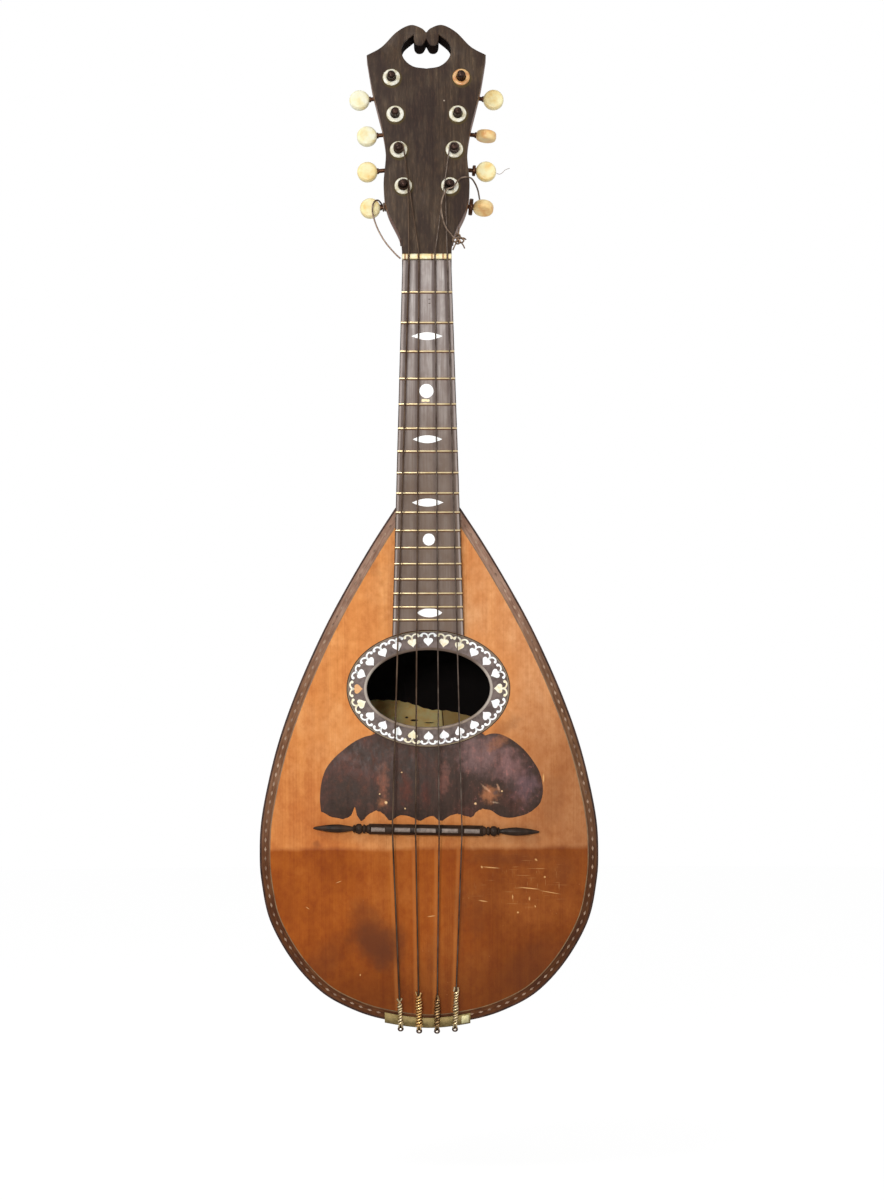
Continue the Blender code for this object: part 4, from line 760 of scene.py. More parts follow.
def plate(loops, front, back, bevel=0.0, place=BODY_FRAME, steps=2):
    """A flat plate between two heights in a frame, from an outline and any holes, with rounded edges."""
    data = bpy.data.curves.new("outline", "CURVE")
    data.dimensions = "2D"
    data.fill_mode = "BOTH"
    data.extrude = ((front - back) / 2 - bevel) * MM
    data.bevel_depth = bevel * MM
    data.bevel_resolution = steps
    data.offset = -bevel * MM
    for loop in loops:
        spline = data.splines.new("POLY")
        spline.points.add(len(loop) - 1)
        for point, (x, y) in zip(spline.points, loop):
            point.co = (x * MM, y * MM, 0.0, 1.0)
        spline.use_cyclic_u = True
    mesh = mesh_of(placed_object("scratch", data), 1e-7)
    mesh.transform(place @ move(0.0, 0.0, (front + back) / 2))
    return mesh


def joined(meshes):
    work = bmesh.new()
    for mesh in meshes:
        work.from_mesh(mesh)
    mesh = bpy.data.meshes.new("joined")
    work.to_mesh(mesh)
    work.free()
    return mesh


def carved(mesh, tools, operation="DIFFERENCE"):
    """A mesh with others cut out of it, or joined on."""
    base, tool = placed_object("scratch", mesh), placed_object("scratch", joined(tools))
    change = base.modifiers.new("change", "BOOLEAN")
    change.operation = operation
    change.solver = "EXACT"
    change.object = tool
    result = mesh_of(base)
    bpy.data.objects.remove(tool, do_unlink=True)
    return result


def rounded(mesh, width, segments=2):
    """A mesh with its sharp edges rounded."""
    item = placed_object("scratch", mesh)
    change = item.modifiers.new("round", "BEVEL")
    change.width = width * MM
    change.segments = segments
    change.limit_method = "ANGLE"
    change.angle_limit = math.radians(30.0)
    return mesh_of(item)


def turned(profile, sides, place=None, ring=False):
    """A turned solid about Z from (radius, height) pairs, or a ring from a closed profile."""
    turns = [2 * math.pi * k / sides for k in range(sides)]
    if ring:
        sections = [[(r * math.cos(a), r * math.sin(a), h) for r, h in profile] for a in turns]
    else:
        profile = [(max(r, 0.02), h) for r, h in profile]
        sections = [[(r * math.cos(a), r * math.sin(a), h) for a in turns] for r, h in profile]
    mesh = loft(sections, caps=not ring, loop=ring)
    if place is not None:
        mesh.transform(place)
    return mesh


def box(low, high):
    (x0, y0, z0), (x1, y1, z1) = low, high
    return loft([[(x0, y0, z), (x1, y0, z), (x1, y1, z), (x0, y1, z)] for z in (z0, z1)])


def tube(points, radius, sides=8):
    """A wire along points. Its UV map runs along it in u and round it in v."""
    path = np.array(points, float)
    tangents = np.gradient(path, axis=0)
    tangents /= np.linalg.norm(tangents, axis=1)[:, None]
    across = np.cross(tangents[0], (0.0, 0.0, 1.0) if abs(tangents[0][2]) < 0.9 else (1.0, 0.0, 0.0))
    sections = []
    turns = np.arange(sides) * 2 * math.pi / sides
    for point, tangent in zip(path, tangents):
        across = across - tangent * across.dot(tangent)
        across /= np.linalg.norm(across)
        other = np.cross(tangent, across)
        sections.append([point + radius * (math.cos(a) * across + math.sin(a) * other) for a in turns])
    lengths = np.concatenate([[0.0], np.cumsum(np.linalg.norm(np.diff(path, axis=0), axis=1))])
    around = [2 * math.pi * radius * k / sides for k in range(sides + 1)]
    return loft(sections, along=lengths, across=around)


def piece(name, mesh, finish, nodes=(), body="frame", sharp=35.0):
    mesh.materials.clear()
    mesh.materials.append(FINISHES[finish])
    mesh.shade_smooth()
    mesh.set_sharp_from_angle(angle=math.radians(sharp))
    made = placed_object(name, mesh)
    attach(made, body)
    if nodes:
        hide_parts(*nodes)


# The bowl's surface, from the outline and the depth

def body_curve():
    past_tail = (BODY_POINTS[-2][0], -BODY_POINTS[-2][1], -BODY_POINTS[-2][2])
    fine = np.array(catmull(BODY_POINTS + [past_tail], 16))[:16 * (len(BODY_POINTS) - 1) + 1]
    steps = np.hypot(np.diff(fine[:, 0]), np.diff(fine[:, 1]))
    length = np.concatenate([[0.0], np.cumsum(steps)])
    return fine, length / length[-1]


BODY_FINE, BODY_LENGTH = body_curve()


def body_at(share):
    return [float(np.interp(share, BODY_LENGTH, BODY_FINE[:, k])) for k in range(3)]


def rim(share, inset):
    """A point of the right rim, moved inwards: x and z. A share past 1 carries on up the left side."""
    side = 1.0
    if share > 1.0:
        share, side = 2.0 - share, -1.0
    z, x, _ = body_at(share)
    step = 0.004
    low = body_at(max(share - step, 0.0))
    high = body_at(min(share + step, 1.0))
    along = Vector((high[1] - low[1], high[0] - low[0]))
    if share > 1.0 - step:
        along = along.lerp(Vector((-1.0, 0.0)) * along.length, (share - 1.0 + step) / step)
    inwards = Vector((along.y, -along.x)).normalized()
    return side * (x + inwards.x * inset), z + inwards.y * inset


def bend(z):
    """How far the soundboard has bent back at a height."""
    return max(0.0, BEND_Z - z) * math.tan(CANT)


def bowl_point(share, angle):
    """A point of the ribs' outer surface: angle 0 is the right rim and pi the left one."""
    x, z = rim(min(share, 0.999), BAND_OVERHANG)
    _, half, depth = body_at(share)
    deep = depth * x / half
    power = BOWL_POWER
    size = (abs(math.cos(angle) / x) ** power + abs(math.sin(angle) / deep) ** power) ** (-1.0 / power)
    return Vector((size * math.cos(angle), bend(z) + RIM_DEPTH + size * math.sin(angle), z))


def bowl_normal(share, angle):
    step = 0.002
    flat = Vector((0.0, 1.0, 0.0))

    def level(point):
        return point - flat * bend(point.z)

    along = level(bowl_point(share + step, angle)) - level(bowl_point(max(share - step, 0.0), angle))
    across = level(bowl_point(share, angle + step)) - level(bowl_point(share, angle - step))
    return along.cross(across).normalized()


# Bowl

RIB_STEPS = 3
RIB_LAST = 16.4
RIB_ACROSS = 6
RIB_CROWN = 0.55
RIB_INSET = 0.4
STATION_POWER = 1.35
# How far the grain has moved on, along and across, from one rib to the next
RIB_GRAIN_SHIFT = (137.0, 61.0)
STRINGING_SECTION = ((-0.4, 0.03), (0.4, 0.03), (0.4, 1.4), (-0.4, 1.4))


def rib_section(share, start, end):
    """The section of a rib from one angle to another, flatter than the bowl between its edges."""
    first, last = bowl_point(share, start), bowl_point(share, end)
    arc = []
    for i in range(RIB_ACROSS + 1):
        t = i / RIB_ACROSS
        round_point = bowl_point(share, start + (end - start) * t)
        arc.append(first.lerp(last, t).lerp(round_point, RIB_CROWN))
    outwards = bowl_normal(share, (start + end) / 2)
    return arc + [p - outwards * RIB_THICKNESS for p in reversed(arc)]


def make_bowl():
    rows = [i / RIB_STEPS for i in range(int(RIB_LAST * RIB_STEPS) + 1)]
    shares = [1.0 - (1.0 - row / BODY_STEPS) ** STATION_POWER for row in rows]
    middle = [bowl_point(share, math.pi / 2) for share in shares]
    along = np.cumsum([0.0] + [(b - a).length for a, b in zip(middle, middle[1:])])
    across = np.cumsum([0.0] + ([4.0] * RIB_ACROSS + [RIB_THICKNESS]) * 2)
    angles = [math.pi * number / RIB_COUNT for number in range(RIB_COUNT + 1)]
    for number, (low, high) in enumerate(zip(angles, angles[1:])):
        sections = []
        for share in shares:
            centre = bowl_point(share, 0.0)
            centre.x = 0.0
            inset = RIB_INSET / max((bowl_point(share, (low + high) / 2) - centre).length, 1.0)
            start = low + (inset if number > 0 else 0.0)
            end = high - (inset if number < RIB_COUNT - 1 else 0.0)
            sections.append(rib_section(share, start, end))
        mesh = loft(sections, along=along + RIB_GRAIN_SHIFT[0] * number,
                    across=across + RIB_GRAIN_SHIFT[1] * number)
        piece(f"bowl_rib_{number + 1:02d}", mesh, "rosewood", [f"rib_{number + 1:02d}"])
    strips = []
    for angle in angles[1:-1]:
        sections = []
        for share in shares:
            point, normal = bowl_point(share, angle), bowl_normal(share, angle)
            wide = (bowl_point(share, angle + 0.01) - bowl_point(share, angle - 0.01)).normalized()
            sections.append([point + wide * x - normal * deep for x, deep in STRINGING_SECTION])
        strips.append(loft(sections))
    piece("bowl_stringing", joined(strips), "pale_line")


CLASP_START = 0.62
CLASP_COLUMNS = 88
CLASP_LEVELS = 10
CLASP_GAP = 0.3
CLASP_THICKNESS = 1.3
CLASP_END_HEIGHT = 9.0
CLASP_TAIL_HEIGHT = 30.0
CLASP_SEARCH = (60.0, 24)
CLASP_LINE_LEVELS = [8.9, 9.15]


def bowl_test():
    """A function that says if a point lies outside the bowl, by x, z and its depth below the rim."""
    table = [(rim(share, BAND_OVERHANG), body_at(share)) for share in np.linspace(0.4, 0.998, 240)]
    heights = np.array([z for (_, z), _ in table])[::-1]
    halves = np.array([x for (x, _), _ in table])[::-1]
    depths = np.array([body[2] * x / body[1] for (x, _), body in table])[::-1]

    def outside(x, z, deep):
        if z < heights[0]:
            return True
        half = np.interp(z, heights, halves)
        bottom = np.interp(z, heights, depths)
        return (abs(x) / half) ** BOWL_POWER + (deep / bottom) ** BOWL_POWER > 1.0

    return outside


def clasp_grid():
    """Points of the bowl's side below the rim, and the directions out of it, for the clasp round the tail."""
    outside = bowl_test()
    furthest, halvings = CLASP_SEARCH
    grid = []
    for column in range(CLASP_COLUMNS + 1):
        share = CLASP_START + (2.0 - 2.0 * CLASP_START) * column / CLASP_COLUMNS
        x0, z0 = rim(share, BAND_OVERHANG)
        x1, z1 = rim(share, BAND_OVERHANG + 1.0)
        near_tail = 1.0 - abs(1.0 - share) / (1.0 - CLASP_START)
        tall = CLASP_END_HEIGHT + (CLASP_TAIL_HEIGHT - CLASP_END_HEIGHT) * smoothstep(near_tail * 1.15)
        points = []
        for level in range(CLASP_LEVELS + 1):
            deep = tall * level / CLASP_LEVELS
            low, high = 0.0, furthest
            for _ in range(halvings):
                middle = (low + high) / 2
                if outside(x0 + (x1 - x0) * middle, z0 + (z1 - z0) * middle, deep):
                    low = middle
                else:
                    high = middle
            points.append(Vector((x0 + (x1 - x0) * high, deep, z0 + (z1 - z0) * high)))
        grid.append(points)
    outs = []
    for column, points in enumerate(grid):
        before, after = grid[max(column - 1, 0)], grid[min(column + 1, CLASP_COLUMNS)]
        row = []
        for level, point in enumerate(points):
            down = points[min(level + 1, CLASP_LEVELS)] - points[max(level - 1, 0)]
            out = down.cross(after[level] - before[level]).normalized()
            if out.dot(Vector((point.x, 0.0, point.z - BEND_Z))) < 0:
                out = -out
            if level == 0:
                out = Vector((out.x, 0.0, out.z)).normalized()
            row.append(out)
        outs.append(row)
    return grid, outs


def clasp_shell(grid, outs, levels, low, high):
    """Sections round the tail, between two distances out from the bowl, at levels below the rim."""

    def place_at(points, row, level, distance):
        base = int(min(level, CLASP_LEVELS - 1e-6))
        place = points[base].lerp(points[base + 1], level - base)
        place = place + row[base].lerp(row[base + 1], level - base) * distance
        return place.x, place.y + bend(place.z) + RIM_DEPTH, place.z

    return [[place_at(points, row, level, high) for level in levels]
            + [place_at(points, row, level, low) for level in levels[::-1]]
            for points, row in zip(grid, outs)]


def make_end_clasp():
    grid, outs = clasp_grid()
    face = CLASP_GAP + CLASP_THICKNESS
    sections = clasp_shell(grid, outs, list(range(CLASP_LEVELS + 1)), 0.0, face)
    along = np.cumsum([0.0] + [math.dist(a[0], b[0]) for a, b in zip(sections, sections[1:])])
    across = [3.0 * i for i in range(2 * CLASP_LEVELS + 3)]
    clasp = rounded(loft(sections, along=along, across=across), 0.35)
    piece("tail_clasp", clasp, "rosewood", ["end_clasp"])
    line = clasp_shell(grid, outs, CLASP_LINE_LEVELS, face - 0.4, face + 0.04)
    piece("tail_clasp_line", loft(line), "pale_line")


INNER_PARTS = {"neck_block": "inner_wood", "tail_block": "inner_wood", "lining_left": "inner_wood",
               "lining_right": "inner_wood", "brace_upper": "brace_wood", "brace_lower": "brace_wood"}


def make_inner_parts():
    """The CAD's own blocks, linings and braces keep their shape and get their wood."""
    for node, finish in INNER_PARTS.items():
        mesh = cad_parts[node].data
        mesh.materials.clear()
        mesh.materials.append(FINISHES[finish])


# The torn top edge of the paper lining, laid along the edge of the light through the sound hole as a painted
# pool of light: x, z
PAPER_EDGE = [(-60.0, -254.6), (-45.0, -253.6), (-38.0, -252.9), (-31.0, -253.1), (-24.0, -253.6),
              (-16.0, -255.2), (-9.0, -256.9), (-5.0, -258.2), (-1.6, -259.3), (3.0, -259.8), (6.6, -259.8),
              (12.0, -259.9), (18.5, -260.9), (25.0, -262.3), (33.0, -265.0), (45.0, -272.0), (60.0, -282.0)]
PAPER_ANGLES = (math.radians(62.0), math.radians(116.0))
PAPER_HEIGHT = 42.0
PAPER_GAP = 3.3
PAPER_THICKNESS = 0.25
PAPER_RADIUS = 126.0
PAPER_COLUMNS = 60
PAPER_ROWS = 10


def make_paper():
    """Paper glued to the inside of the bowl's back, torn off along its top. The pale sheet is a painted pool
    of light: its top edge follows the edge of the light that falls in through the sound hole.
    """
    xs, zs = zip(*PAPER_EDGE)
    shares = np.linspace(0.2, 0.8, 400)
    depths = [-rim(share, BAND_OVERHANG)[1] for share in shares]
    sections = []
    for column in range(PAPER_COLUMNS + 1):
        angle = PAPER_ANGLES[0] + (PAPER_ANGLES[1] - PAPER_ANGLES[0]) * column / PAPER_COLUMNS
        x = PAPER_RADIUS * math.cos(angle)
        torn = 0.35 * math.sin(x * 3.1) + 0.25 * math.sin(x * 7.3 + 1.0)
        top = float(np.interp(x, xs, zs)) + torn
        front, back = [], []
        for row in range(PAPER_ROWS + 1):
            share = float(np.interp(PAPER_HEIGHT * row / PAPER_ROWS - top, depths, shares))
            point, normal = bowl_point(share, angle), bowl_normal(share, angle)
            front.append(point - normal * PAPER_GAP)
            back.append(point - normal * (PAPER_GAP - PAPER_THICKNESS))
        sections.append(front + back[::-1])
    piece("painted_light_paper", loft(sections), "paper")


# Soundboard and what is let into it

GUARD_SIDE_LEFT = [(-32.5, -272.5), (-37.5, -273.8), (-43.5, -276.8), (-49.5, -281.4), (-54.6, -286.0),
                   (-58.6, -291.2), (-61.0, -297.0), (-62.2, -303.5), (-62.5, -310.0), (-61.9, -316.5)]
GUARD_LOWER = [(-61.9, -316.5), (-55.5, -319.6), (-49.2, -320.6), (-44.6, -318.6), (-42.6, -313.8),
               (-41.2, -318.6), (-38.6, -321.8), (-35.2, -318.6), (-30.2, -316.0), (-25.6, -318.2),
               (-22.3, -321.6), (-16.1, -318.7), (-10.4, -319.6), (-4.7, -321.8), (1.2, -319.0),
               (6.8, -322.0), (11.4, -319.4), (16.3, -318.0), (21.0, -319.2), (24.8, -319.9),
               (27.2, -317.0), (31.0, -315.2), (36.6, -316.6), (43.3, -320.2), (53.0, -319.4), (59.4, -316.4)]
GUARD_SIDE_RIGHT = [(59.4, -316.4), (63.8, -312.0), (65.6, -305.0), (64.3, -296.0), (61.0, -289.2),
                    (55.0, -281.4), (48.0, -275.6), (41.5, -272.4), (36.5, -271.9), (32.5, -273.0)]
GUARD_TOP_END = 30.5
RIM_STATIONS = 110


def guard_outline(gap_to_ring):
    """The pickguard's outline: along the rosette, down the left, along the worn edge, up the right."""
    half_x, half_z = ROSETTE[0] + gap_to_ring, ROSETTE[1] + gap_to_ring
    start, end = -math.acos(GUARD_TOP_END / half_x), -math.acos(-GUARD_TOP_END / half_x)
    top = ellipse(half_x, half_z, 48, (0.0, HOLE_Z), start, end - start)
    top.append((half_x * math.cos(end), HOLE_Z + half_z * math.sin(end)))
    lower = catmull(GUARD_LOWER, 4)[1:-1]
    lower = [(x, z + 0.16 * math.sin(3.1 * x) + 0.1 * math.sin(7.7 * x + 1.0)) for x, z in lower]
    return top + catmull(GUARD_SIDE_LEFT, 6) + lower + catmull(GUARD_SIDE_RIGHT, 7)


def rim_shares():
    half = [1.0 - (1.0 - i / RIM_STATIONS) ** STATION_POWER for i in range(RIM_STATIONS + 1)]
    return half + [2.0 - s for s in reversed(half[:-1])]


def make_soundboard():
    """A plate that leans back below the bend, with seats for the rosette and the pickguard."""
    outline = [rim(share, BAND_WIDTH - 0.05) for share in rim_shares()]
    flat = plate([outline], 0.0, -BOARD, place=Matrix.Identity(4))
    work = bmesh.new()
    work.from_mesh(flat)
    everything = work.verts[:] + work.edges[:] + work.faces[:]
    bmesh.ops.bisect_plane(work, geom=everything, plane_co=(0.0, BEND_Z * MM, 0.0), plane_no=(0.0, 1.0, 0.0))
    for vert in work.verts:
        vert.co.z -= bend(vert.co.y / MM) * MM
    work.to_mesh(flat)
    work.free()
    flat.transform(BODY_FRAME)
    hole = ellipse(SOUND_HOLE[0] + 0.8, SOUND_HOLE[1] + 0.8, 128, (0.0, HOLE_Z))
    seat = ellipse(ROSETTE[0] + 0.06, ROSETTE[1] + 0.06, 160, (0.0, HOLE_Z))
    board = flat
    for cut, depth in ((hole, 8.0), (seat, 1.4), (guard_outline(-3.0), 0.9)):
        board = carved(board, [plate([cut], 5.0, -depth)])
    piece("top_board", board, "spruce", ["soundboard"], sharp=3.0)


# The rosette's flat rings: name, half width at the outer and inner edge, finish, node
ROSETTE_NARROW = ROSETTE[0] - ROSETTE[1]
ROSETTE_DEPTH = 1.3
ROSETTE_RINGS = [("rosette_base", 46.0, 37.0, "rosette_ground", ["rosette_ring"]),
                 ("rosette_rim", 47.0, 46.45, "edge_rim", []),
                 ("rosette_line", 46.45, 46.0, "rosette_line", [])]
LIP_PROFILE = [(37.0, 0.0), (36.55, 0.25), (35.75, 0.1), (35.4, -0.5), (35.4, -2.5), (36.1, -2.5),
               (37.0, -ROSETTE_DEPTH)]


def make_rosette():
    for name, outer, inner, finish, nodes in ROSETTE_RINGS:
        loops = [ellipse(half, half - ROSETTE_NARROW, 160, (0.0, HOLE_Z)) for half in (outer, inner)]
        piece(name, plate(loops, 0.0, -ROSETTE_DEPTH), finish, nodes)
    sections = []
    for i in range(160):
        cosine, sine = math.cos(2 * math.pi * i / 160), math.sin(2 * math.pi * i / 160)
        sections.append([(half * cosine, -front, HOLE_Z + (half - ROSETTE_NARROW) * sine)
                         for half, front in LIP_PROFILE])
    piece("rosette_lip", loft(sections, caps=False, loop=True), "lip")


HEART_COUNT = 24
HEART = (5.5, 5.0)
HEART_OVAL = (41.6, 28.3)
WARM_HEARTS = (1, 2, 6, 13, 17, 23)
AMBER_HEART = 18
ARM = [(0.0, -0.2), (0.3, 0.9), (1.3, 1.8), (2.6, 2.05), (3.6, 1.65), (3.95, 0.95)]


def heart_outline(count=28):
    """A heart with its point towards -y."""
    points = []
    for i in range(count):
        t = 2 * math.pi * i / count
        x = 16 * math.sin(t) ** 3
        y = 13 * math.cos(t) - 5 * math.cos(2 * t) - 2 * math.cos(3 * t) - math.cos(4 * t)
        points.append((x / 32.0 * HEART[0], (y + 17.0) / 29.0 * HEART[1]))
    return points


def ribbon(points, widths):
    """A flat band along points, as an outline."""
    path = np.array(points, float)
    along = np.gradient(path, axis=0)
    along /= np.linalg.norm(along, axis=1)[:, None]
    across = np.stack([-along[:, 1], along[:, 0]], axis=1) * (np.array(widths)[:, None] / 2)
    return [tuple(p) for p in path + across] + [tuple(p) for p in (path - across)[::-1]]


def ring_places():
    """Middle of each heart on the ring: place, direction along the ring and direction outwards."""
    half_x, half_z = HEART_OVAL
    angles = np.linspace(0, 2 * math.pi, 1441)
    xs, zs = half_x * np.sin(angles), half_z * np.cos(angles)
    length = np.concatenate([[0.0], np.cumsum(np.hypot(np.diff(xs), np.diff(zs)))])
    for number in range(HEART_COUNT):
        angle = float(np.interp(length[-1] * number / HEART_COUNT, length, angles))
        place = Vector((half_x * math.sin(angle), HOLE_Z + half_z * math.cos(angle)))
        along = Vector((half_x * math.cos(angle), -half_z * math.sin(angle))).normalized()
        yield number, place, along, Vector((-along.y, along.x))


def make_hearts():
    """Pearl hearts that point to the hole, on a vine of curled arms along the ring's outer side."""
    arm = catmull(ARM, 4)
    arm = ribbon(arm, [1.2 - 0.3 * math.sin(math.pi * i / (len(arm) - 1)) for i in range(len(arm))])
    ball = ellipse(0.85, 0.85, 12, (3.95, 0.9))
    stem = ribbon([(0.0, -0.3), (0.0, 2.0)], [1.2, 1.1])
    # Outline, shift outwards, which way round, height
    hearts = [(heart_outline(), -4.1, 1.0, 0.07), (stem, 0.0, 1.0, 0.055)]
    arms = [(shape, 1.35, mirror, front) for mirror in (1.0, -1.0)
            for shape, front in ((arm, 0.06), (ball, 0.065))]
    groups = {"white": [], "warm": [], "amber": []}
    for number, place, along, out in ring_places():
        tone = "amber" if number == AMBER_HEART else ("warm" if number in WARM_HEARTS else "white")
        for shapes, group in ((hearts, tone), (arms, "warm" if tone == "amber" else tone)):
            for shape, shift, mirror, front in shapes:
                outline = [tuple(place + along * (mirror * x) + out * (y + shift)) for x, y in shape]
                groups[group].append(plate([outline], front, -0.2))
    for name, finish in (("white", "pearl"), ("warm", "warm_pearl"), ("amber", "amber_inlay")):
        piece(f"rosette_inlay_{name}", joined(groups[name]), finish)


def make_pickguard():
    guard = plate([guard_outline(0.05)], 0.03, -0.8, 0.08)
    piece("guard", guard, "tortoiseshell", ["pickguard"])


DIAMOND_STEP = 5.4
DIAMOND_HALF = (1.5, 0.6)
DIAMOND_INSET = 3.3
RIM_EDGE = 1.1
BAND_INNER = BAND_WIDTH - 0.55
# Strips of the edge: section as inset and depth, places of its points across, name, finish, node, sharp angle
EDGE_STRIPS = [
    ([(RIM_EDGE, 0.0), (0.5, 0.05), (0.15, 0.25), (0.0, 0.6), (0.0, 2.9), (RIM_EDGE, 2.9)],
     [0, 1, 2, 3, 4, 6, 7], "rim_edge", "edge_rim", ["edge_binding"], 50.0),
    ([(BAND_INNER, 0.0), (RIM_EDGE, 0.0), (RIM_EDGE, 2.6), (BAND_INNER, 2.6)],
     [0.0, 4.6, 7.2, 11.8, 14.4], "rim_band", "band", [], 35.0),
    ([(BAND_WIDTH, 0.0), (BAND_INNER, 0.0), (BAND_INNER, 2.6), (BAND_WIDTH, 2.6)],
     [0, 1, 2, 3, 4], "rim_line", "band_line", [], 35.0),
]


def on_board(x, z, deep):
    """A point at a depth behind the face of the soundboard."""
    return x, bend(z) + deep, z


def make_edge_binding():
    """A dark rim, a broad band with small diamonds, and a fine line next to the soundboard."""
    shares = rim_shares()
    points = [rim(share, 3.0) for share in shares]
    along = np.cumsum([0.0] + [math.dist(a, b) for a, b in zip(points, points[1:])])
    for profile, across, name, finish, nodes, sharp in EDGE_STRIPS:
        sections = [[on_board(*rim(share, inset), deep) for inset, deep in profile] for share in shares]
        piece(name, loft(sections, along=along, across=across), finish, nodes, sharp=sharp)
    count = int(along[-1] / DIAMOND_STEP)
    diamonds = []
    for number in range(1, count):
        share = float(np.interp(along[-1] * number / count, along, shares))
        before, here, after = [rim(share + step, DIAMOND_INSET) for step in (-0.002, 0.0, 0.002)]
        way = Vector((after[0] - before[0], after[1] - before[1])).normalized() * DIAMOND_HALF[0]
        across = Vector((-way.y, way.x)) * (DIAMOND_HALF[1] / DIAMOND_HALF[0])
        corners = [Vector(here) + corner for corner in (way, across, -way, -across)]
        diamonds.append(loft([[on_board(x, z, deep) for x, z in corners] for deep in (-0.05, 0.3)]))
    piece("rim_diamonds", joined(diamonds), "diamond")


# Bridge and tailpiece

# A turned end of the bridge from its tip: radius, distance from the middle
BRIDGE_END = [(0.0, 65.0), (0.45, 64.7), (0.85, 63.5), (1.3, 61.2), (1.8, 58.2), (2.2, 55.0), (2.4, 52.0),
              (2.35, 49.5), (2.05, 47.0), (1.65, 44.6), (1.3, 42.8), (1.35, 42.2), (2.1, 41.9), (2.4, 41.4),
              (2.1, 40.9), (1.9, 40.7), (2.6, 40.1), (3.0, 38.9), (3.0, 38.2), (2.6, 37.2), (1.8, 36.8),
              (1.7, 36.6), (2.4, 36.2), (2.6, 35.6), (2.4, 35.0), (1.8, 34.6), (2.2, 34.0), (2.6, 33.4),
              (2.6, 32.4), (0.0, 31.0)]
BRIDGE_PADS = [(-31.6, -23.6), (-18.2, -9.2), (-6.8, 5.4), (8.9, 18.2), (21.8, 30.6)]
BRIDGE_FOOT = 0.3
BRIDGE_AXIS = 3.45


def make_bridge():
    """A bar with a worn crest in five lengths, and a turned end on each side."""
    length, wide, tall = BRIDGE_BAR
    place = move(BRIDGE_X, 0.0, BRIDGE_Z) @ turn(90.0, "X") @ Matrix.Rotation(-BRIDGE_TILT, 4, "Z")
    sections = []
    for side in (-1.0, 1.0):
        steps = [(0.0, 0.62), (2.0, 0.8), (5.0, 1.0)]
        for in_from_end, share in steps if side < 0 else steps[::-1]:
            x = side * (length / 2 - in_from_end)
            high = (tall - 0.9) * share
            crest, flank = BRIDGE_FOOT + high, BRIDGE_FOOT + high * 0.62
            sections.append([(x, -wide / 2, 0.0), (x, wide / 2, 0.0), (x, wide / 2, flank), (x, 1.35, crest),
                             (x, -1.35, crest), (x, -wide / 2, flank)])
    ends = [turned(BRIDGE_END, 28, move(0.0, 0.0, BRIDGE_AXIS) @ turn(degrees, "Y"))
            for degrees in (90.0, -90.0)]
    whole = joined([rounded(loft(sections), 0.35)] + ends)
    whole.transform(place)
    piece("bridge_bar", whole, "ebony", ["bridge"])
    top = BRIDGE_FOOT + tall
    pads = []
    for pad in BRIDGE_PADS:
        sections = [[(x, -1.3, top - 1.6), (x, 1.3, top - 1.6), (x, 1.2, top - 0.25), (x, 0.7, top),
                     (x, -0.7, top), (x, -1.2, top - 0.25)] for x in pad]
        pads.append(rounded(loft(sections), 0.12, 1))
    crest = joined(pads)
    crest.transform(place)
    piece("bridge_crest", crest, "worn_ebony")


def tail_rim(x, outwards):
    """The height of the rim at the tail, moved outwards, at a place across."""
    points = np.array([rim(share, -outwards) for share in np.linspace(0.8, 1.0, 60)])[::-1]
    return float(np.interp(abs(x), points[:, 0], points[:, 1]))


PIN_DEPTH = 5.0
PIN_MIDDLE = 2.45
TAIL_GAP = 0.7
TAIL_FACE = TAIL_GAP + 1.0
TAIL_FLANGE = 4.3
TAIL_WALL = 16.0
# Section of the tail plate: distance out from the rim, depth
TAIL_PROFILE = [(-TAIL_FLANGE, -0.3), (-TAIL_FLANGE, TAIL_FRONT + 0.25),
                (-TAIL_FLANGE + 0.25, TAIL_FRONT), (TAIL_GAP + 0.4, TAIL_FRONT),
                (TAIL_GAP + 0.8, TAIL_FRONT + 0.2), (TAIL_FACE, TAIL_FRONT + 0.7),
                (TAIL_FACE, TAIL_WALL), (TAIL_GAP, TAIL_WALL), (TAIL_GAP, -0.3)]
HITCH_PIN = [(0.0, 3.95), (0.8, 3.85), (1.45, 3.4), (1.78, 2.75), (1.78, 2.15), (1.45, 1.5), (0.95, 1.05),
             (0.8, 0.8), (0.8, -0.5), (0.0, -0.5)]
TAB_SIDES = (18.2, 22.8)


def make_tailpiece():
    """A plate over the soundboard's edge and down the tail, with four hitch pins and a small tab."""
    sections = []
    for x in np.linspace(TAIL_X - TAIL_HALF, TAIL_X + TAIL_HALF, 41):
        sections.append([on_board(x, tail_rim(x, out), deep) for out, deep in TAIL_PROFILE])
    piece("tail_plate", loft(sections), "tail_brass", ["tailpiece"], sharp=50.0)
    pins = []
    for x, *_ in STRINGS:
        place = move(*on_board(x, tail_rim(x, TAIL_FACE), PIN_DEPTH - 1.0)) @ turn(180.0, "X")
        pins.append(turned(HITCH_PIN, 24, place))
    piece("hitch_pins", joined(pins), "hitch_pin")
    tab = []
    for x in TAB_SIDES:
        z = tail_rim(x, -1.2)
        y = bend(z)
        tab.append([(x, y - 1.3, z - 2.2), (x, y - 2.0, z - 2.2), (x, y - 2.0, z + 2.3),
                    (x, y - 1.3, z + 2.3)])
    piece("tail_tab", rounded(loft(tab), 0.3), "tail_tab")


# Neck and peghead

